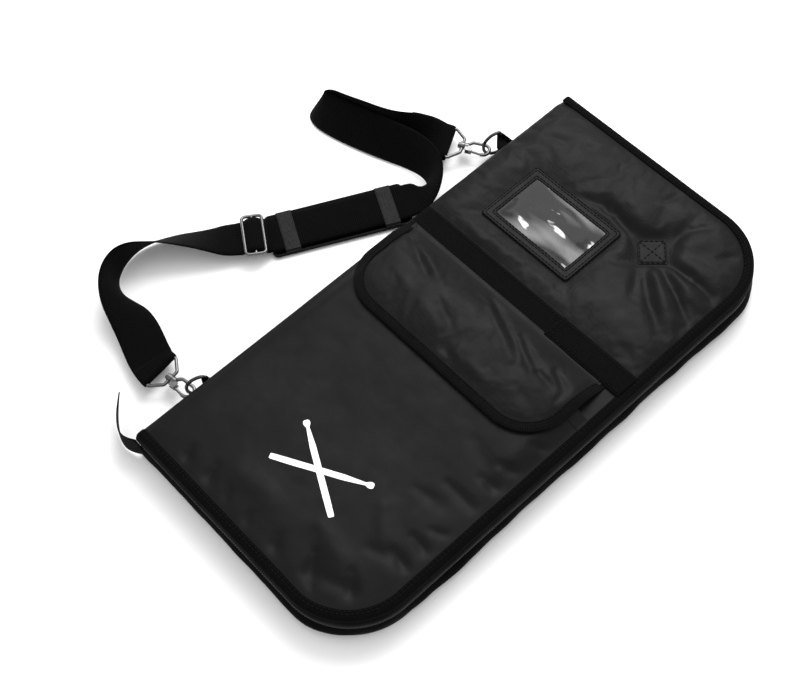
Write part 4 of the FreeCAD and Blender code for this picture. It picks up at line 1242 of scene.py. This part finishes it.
def pad_place(along, across, z):
    ahead, right = heading_axes(PAD_HEADING)
    return PAD_START + ahead * along + right * across + UP * z


def build_pad():
    """The flat shoulder pad under the webbing, its edge piping and its two keeper bands."""
    verts, uvs = [], []
    rows, columns = 44, 18
    half = PAD_WIDTH / 2
    low, high = -4.2 * MM, -1.1 * MM
    middle = (low + high) / 2
    for side in (1, -1):
        for i in range(rows + 1):
            u = 2 * i / rows - 1
            for k in range(columns + 1):
                v = 2 * k / columns - 1
                full = max(1 - max(abs(u) ** 14, abs(v) ** 8), 0.0) ** 0.5
                along = PAD_LENGTH * (u + 1) / 2
                verts.append(pad_place(along, v * half, middle + side * (high - low) / 2 * full))
                uvs.append((v * half, along))
    faces = net(rows + 1, columns + 1, flip=True) + net(rows + 1, columns + 1, len(verts) // 2)
    pad = new_mesh("strap_pad_cushion", verts, faces, uvs)
    finish_piece(subdivide(pad), PAD_CLOTH, "shoulder_pad", ["shoulder_pad"])
    edge = loop_stations(Vector((PAD_LENGTH / 2, 0)), PAD_LENGTH / 2, half, 3 * MM, 3 * MM)
    piping = tube_loop("strap_pad_piping", [pad_place(s.x, s.y, middle) for s in edge], 1.4 * MM)
    pieces = [pad, finish_piece(piping, KEEPER_EDGE, "shoulder_pad")]
    for node, start in (("lower_pad_keeper", 10 * MM), ("upper_pad_keeper", 102 * MM)):
        band = keeper_band(node + "_elastic", start, 14 * MM, half + 0.2 * MM, low - 0.1 * MM, 2.0 * MM)
        pieces.append(finish_piece(band, KEEPER, "shoulder_pad", [node]))
    return pieces


def keeper_band(name, start, length, half, low, high):
    """An elastic band round the pad and the webbing."""
    loop = []
    corner = 2.2 * MM
    for cx, cz, begin in ((half - corner, high - corner, 0), (-half + corner, high - corner, 90),
                          (-half + corner, low + corner, 180), (half - corner, low + corner, 270)):
        for i in range(6):
            angle = math.radians(begin + 18 * i)
            loop.append((cx + corner * math.cos(angle), cz + corner * math.sin(angle)))
    section = spaced(loop, 4 * MM)
    rows = 6
    spots = [(start + length * i / rows, across, z) for i in range(rows + 1) for across, z in section]
    band = new_mesh(name, [pad_place(*spot) for spot in spots], net(rows + 1, len(section), ring=True),
                    [(along, across + z) for along, across, z in spots])
    return thicken(band, 0.7 * MM, 1.0)


def tube_loop(name, points, radius, sides=8):
    """A round cord along a closed, level loop."""
    verts = []
    for i, point in enumerate(points):
        ahead = (points[(i + 1) % len(points)] - points[i - 1]).normalized()
        side = ahead.cross(UP).normalized()
        for k in range(sides):
            angle = 2 * math.pi * k / sides
            verts.append(point + side * radius * math.cos(angle) + UP * radius * math.sin(angle))
    return new_mesh(name, verts, net(len(points), sides, ring=True, loop=True))


SLIDER_PLACE = Vector((-0.2224, -0.0492, 0.0121))
SLIDER_HEADING = math.radians(57.0)
SLIDER_LEAN = math.radians(5.0)
# the webbing under one long wire, over the centre bar and under the other: along, height in mm
SLIDER_WEAVE = [(-14, -2.6), (-9, -2.6), (-4, 1.2), (0, 2.4), (4, 1.2), (9, -2.6), (13, -2.6)]


def build_slider_loop():
    """The webbing threaded through the slider's frame."""
    ahead, right = heading_axes(SLIDER_HEADING)
    across = (right * math.cos(SLIDER_LEAN) + UP * math.sin(SLIDER_LEAN)).normalized()
    up = across.cross(ahead).normalized()
    weave = [SLIDER_PLACE + ahead * along * MM + up * height * MM for along, height in SLIDER_WEAVE]
    frames = [(centre, across, across.cross(forward).normalized())
              for centre, forward in with_direction(spline_points("slider_weave", weave))]
    loop = ribbon("slider_loop", frames, WEBBING - 0.4 * MM, 1.4 * MM, columns=8)
    return finish_piece(loop, STRAP, "strap_slider")


# ---------------------------------------------------------------- tabs and the zip's tail
TAB_BAR_INSET = 3.4 * MM    # the ring's bar from the outer end of its tab
TAB_FOLD_R = 2.5 * MM


def build_tabs():
    """Webbing tabs sewn on the spine and folded round the upright bars of the D rings."""
    columns = 8
    flare = [(SPINE_X - 0.2 * MM, 7.5 * MM), (SPINE_X - 1.4 * MM, 4.6 * MM), (SPINE_X - 3.2 * MM, 2.8 * MM)]
    for node in ("lower_ring_tab", "upper_ring_tab"):
        low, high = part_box(node)
        bar_x, bar_y = low.x + TAB_BAR_INSET, (low.y + high.y) / 2
        profile = [(x, bar_y + half) for x, half in flare]
        for i in range(9):
            angle = math.radians(90 + 180 * i / 8)
            profile.append((bar_x + TAB_FOLD_R * math.cos(angle), bar_y + TAB_FOLD_R * math.sin(angle)))
        profile += [(x, bar_y - half) for x, half in reversed(flare)]
        heights = [low.z + (high.z - low.z) * k / columns for k in range(columns + 1)]
        verts = [(x, y, z) for x, y in profile for z in heights]
        uvs = [(z, i * 1.5 * MM) for i in range(len(profile)) for z in heights]
        cloth = new_mesh(node + "_webbing", verts, net(len(profile), columns + 1, flip=True), uvs)
        finish_piece(thicken(cloth, 1.3 * MM, 0.0), STRAP, "root", [node])


TAIL_ROUTE = [(-0.122, -0.2518, 0.0165), (-0.131, -0.257, 0.014), (-0.142, -0.2585, 0.0135),
              (-0.153, -0.253, 0.015), (-0.163, -0.245, 0.018), (-0.171, -0.236, 0.022)]
TAIL_WIDTH = 25 * MM
TAIL_LEAN = math.radians(16)


def build_tail():
    """The zip's spare end, standing on edge and curling away from the corner."""
    line = with_direction(spline_points("tail_line", TAIL_ROUTE))
    frames = []
    for i, (centre, ahead) in enumerate(line):
        lean = TAIL_LEAN * (i / (len(line) - 1)) ** 2
        upright = UP + ahead.cross(UP) * math.tan(lean)
        across = (upright - ahead * ahead.dot(upright)).normalized()
        frames.append((centre, across, across.cross(ahead).normalized()))
    tail = ribbon("zip_tail", frames, TAIL_WIDTH, 1.2 * MM, columns=10)
    finish_piece(tail, TAPE, "root", ["zip_tail_tape"])


# ---------------------------------------------------------------- carried-over metal
METAL = (
    (WIRE, CORD_METAL),
    (DARK_WIRE, ("lower_d_ring", "upper_d_ring")),
    (ZIP_METAL, ("zip_slider", "zip_pull", "zip_end_stop", "zip_tail_crimp")),
)


def finish_metal():
    for material, names in METAL:
        for name in names:
            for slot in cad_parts[name].material_slots:
                slot.material = material


# ---------------------------------------------------------------- floor, light and camera
LIGHT_TARGET = Vector((0, 0.1, 0))


def area_light(name, place, size, power):
    light = bpy.data.lights.new(name, "AREA")
    light.shape = "RECTANGLE"
    light.size = light.size_y = size
    light.energy = power
    obj = bpy.data.objects.new(name, light)
    obj.location = place
    obj.rotation_euler = (LIGHT_TARGET - Vector(place)).to_track_quat("-Z", "Y").to_euler()
    bpy.context.scene.collection.objects.link(obj)


def build_floor():
    half = 4.0
    floor = new_mesh("floor", [(-half, -half, 0), (half, -half, 0), (half, half, 0), (-half, half, 0)],
                     [(0, 1, 2, 3)], smooth=False)
    floor.location.z = -0.0002
    n = Nodes("pale_floor", (0.9, 0.9, 0.9), 0.9)
    n.mix_colour(n.spread(n.noise(3.0)), (0.89, 0.89, 0.89), (0.91, 0.91, 0.91))
    floor.data.materials.append(n.material)


def build_light():
    world = bpy.data.worlds.new("studio")
    world.use_nodes = True
    sky = world.node_tree.nodes["Background"].inputs
    sky["Color"].default_value = (1, 1, 1, 1)
    sky["Strength"].default_value = 0.95
    bpy.context.scene.world = world
    area_light("key", (-0.6, 0.9, 1.25), 1.05, 25)
    area_light("overhead", (-0.4, 0.6, 2.4), 1.8, 12)
    bpy.context.scene.view_settings.view_transform = "Standard"


def build_camera():
    right = Vector((0.67917, 0.73275, -0.04260))
    up = Vector((-0.61755, 0.60184, 0.50638))
    back = Vector((0.39669, -0.31761, 0.86126))
    camera = bpy.data.cameras.new("camera")
    camera.sensor_width = 36
    camera.lens = 64.02
    obj = bpy.data.objects.new("camera", camera)
    turn = Matrix((right, up, back)).transposed().to_4x4()
    turn.translation = (0.4313, -0.4175, 1.0446)
    obj.matrix_world = turn
    bpy.context.scene.collection.objects.link(obj)
    bpy.context.scene.camera = obj


build_floor()
build_light()
build_camera()
build_strap()
build_cover_cloth()
build_pocket()
build_band()
build_edge_tapes()
build_sides()
build_window()
build_stitch_patch()
build_emblem()
build_flap()
build_inside()
build_hanging_loop()
build_tabs()
build_tail()
finish_metal()
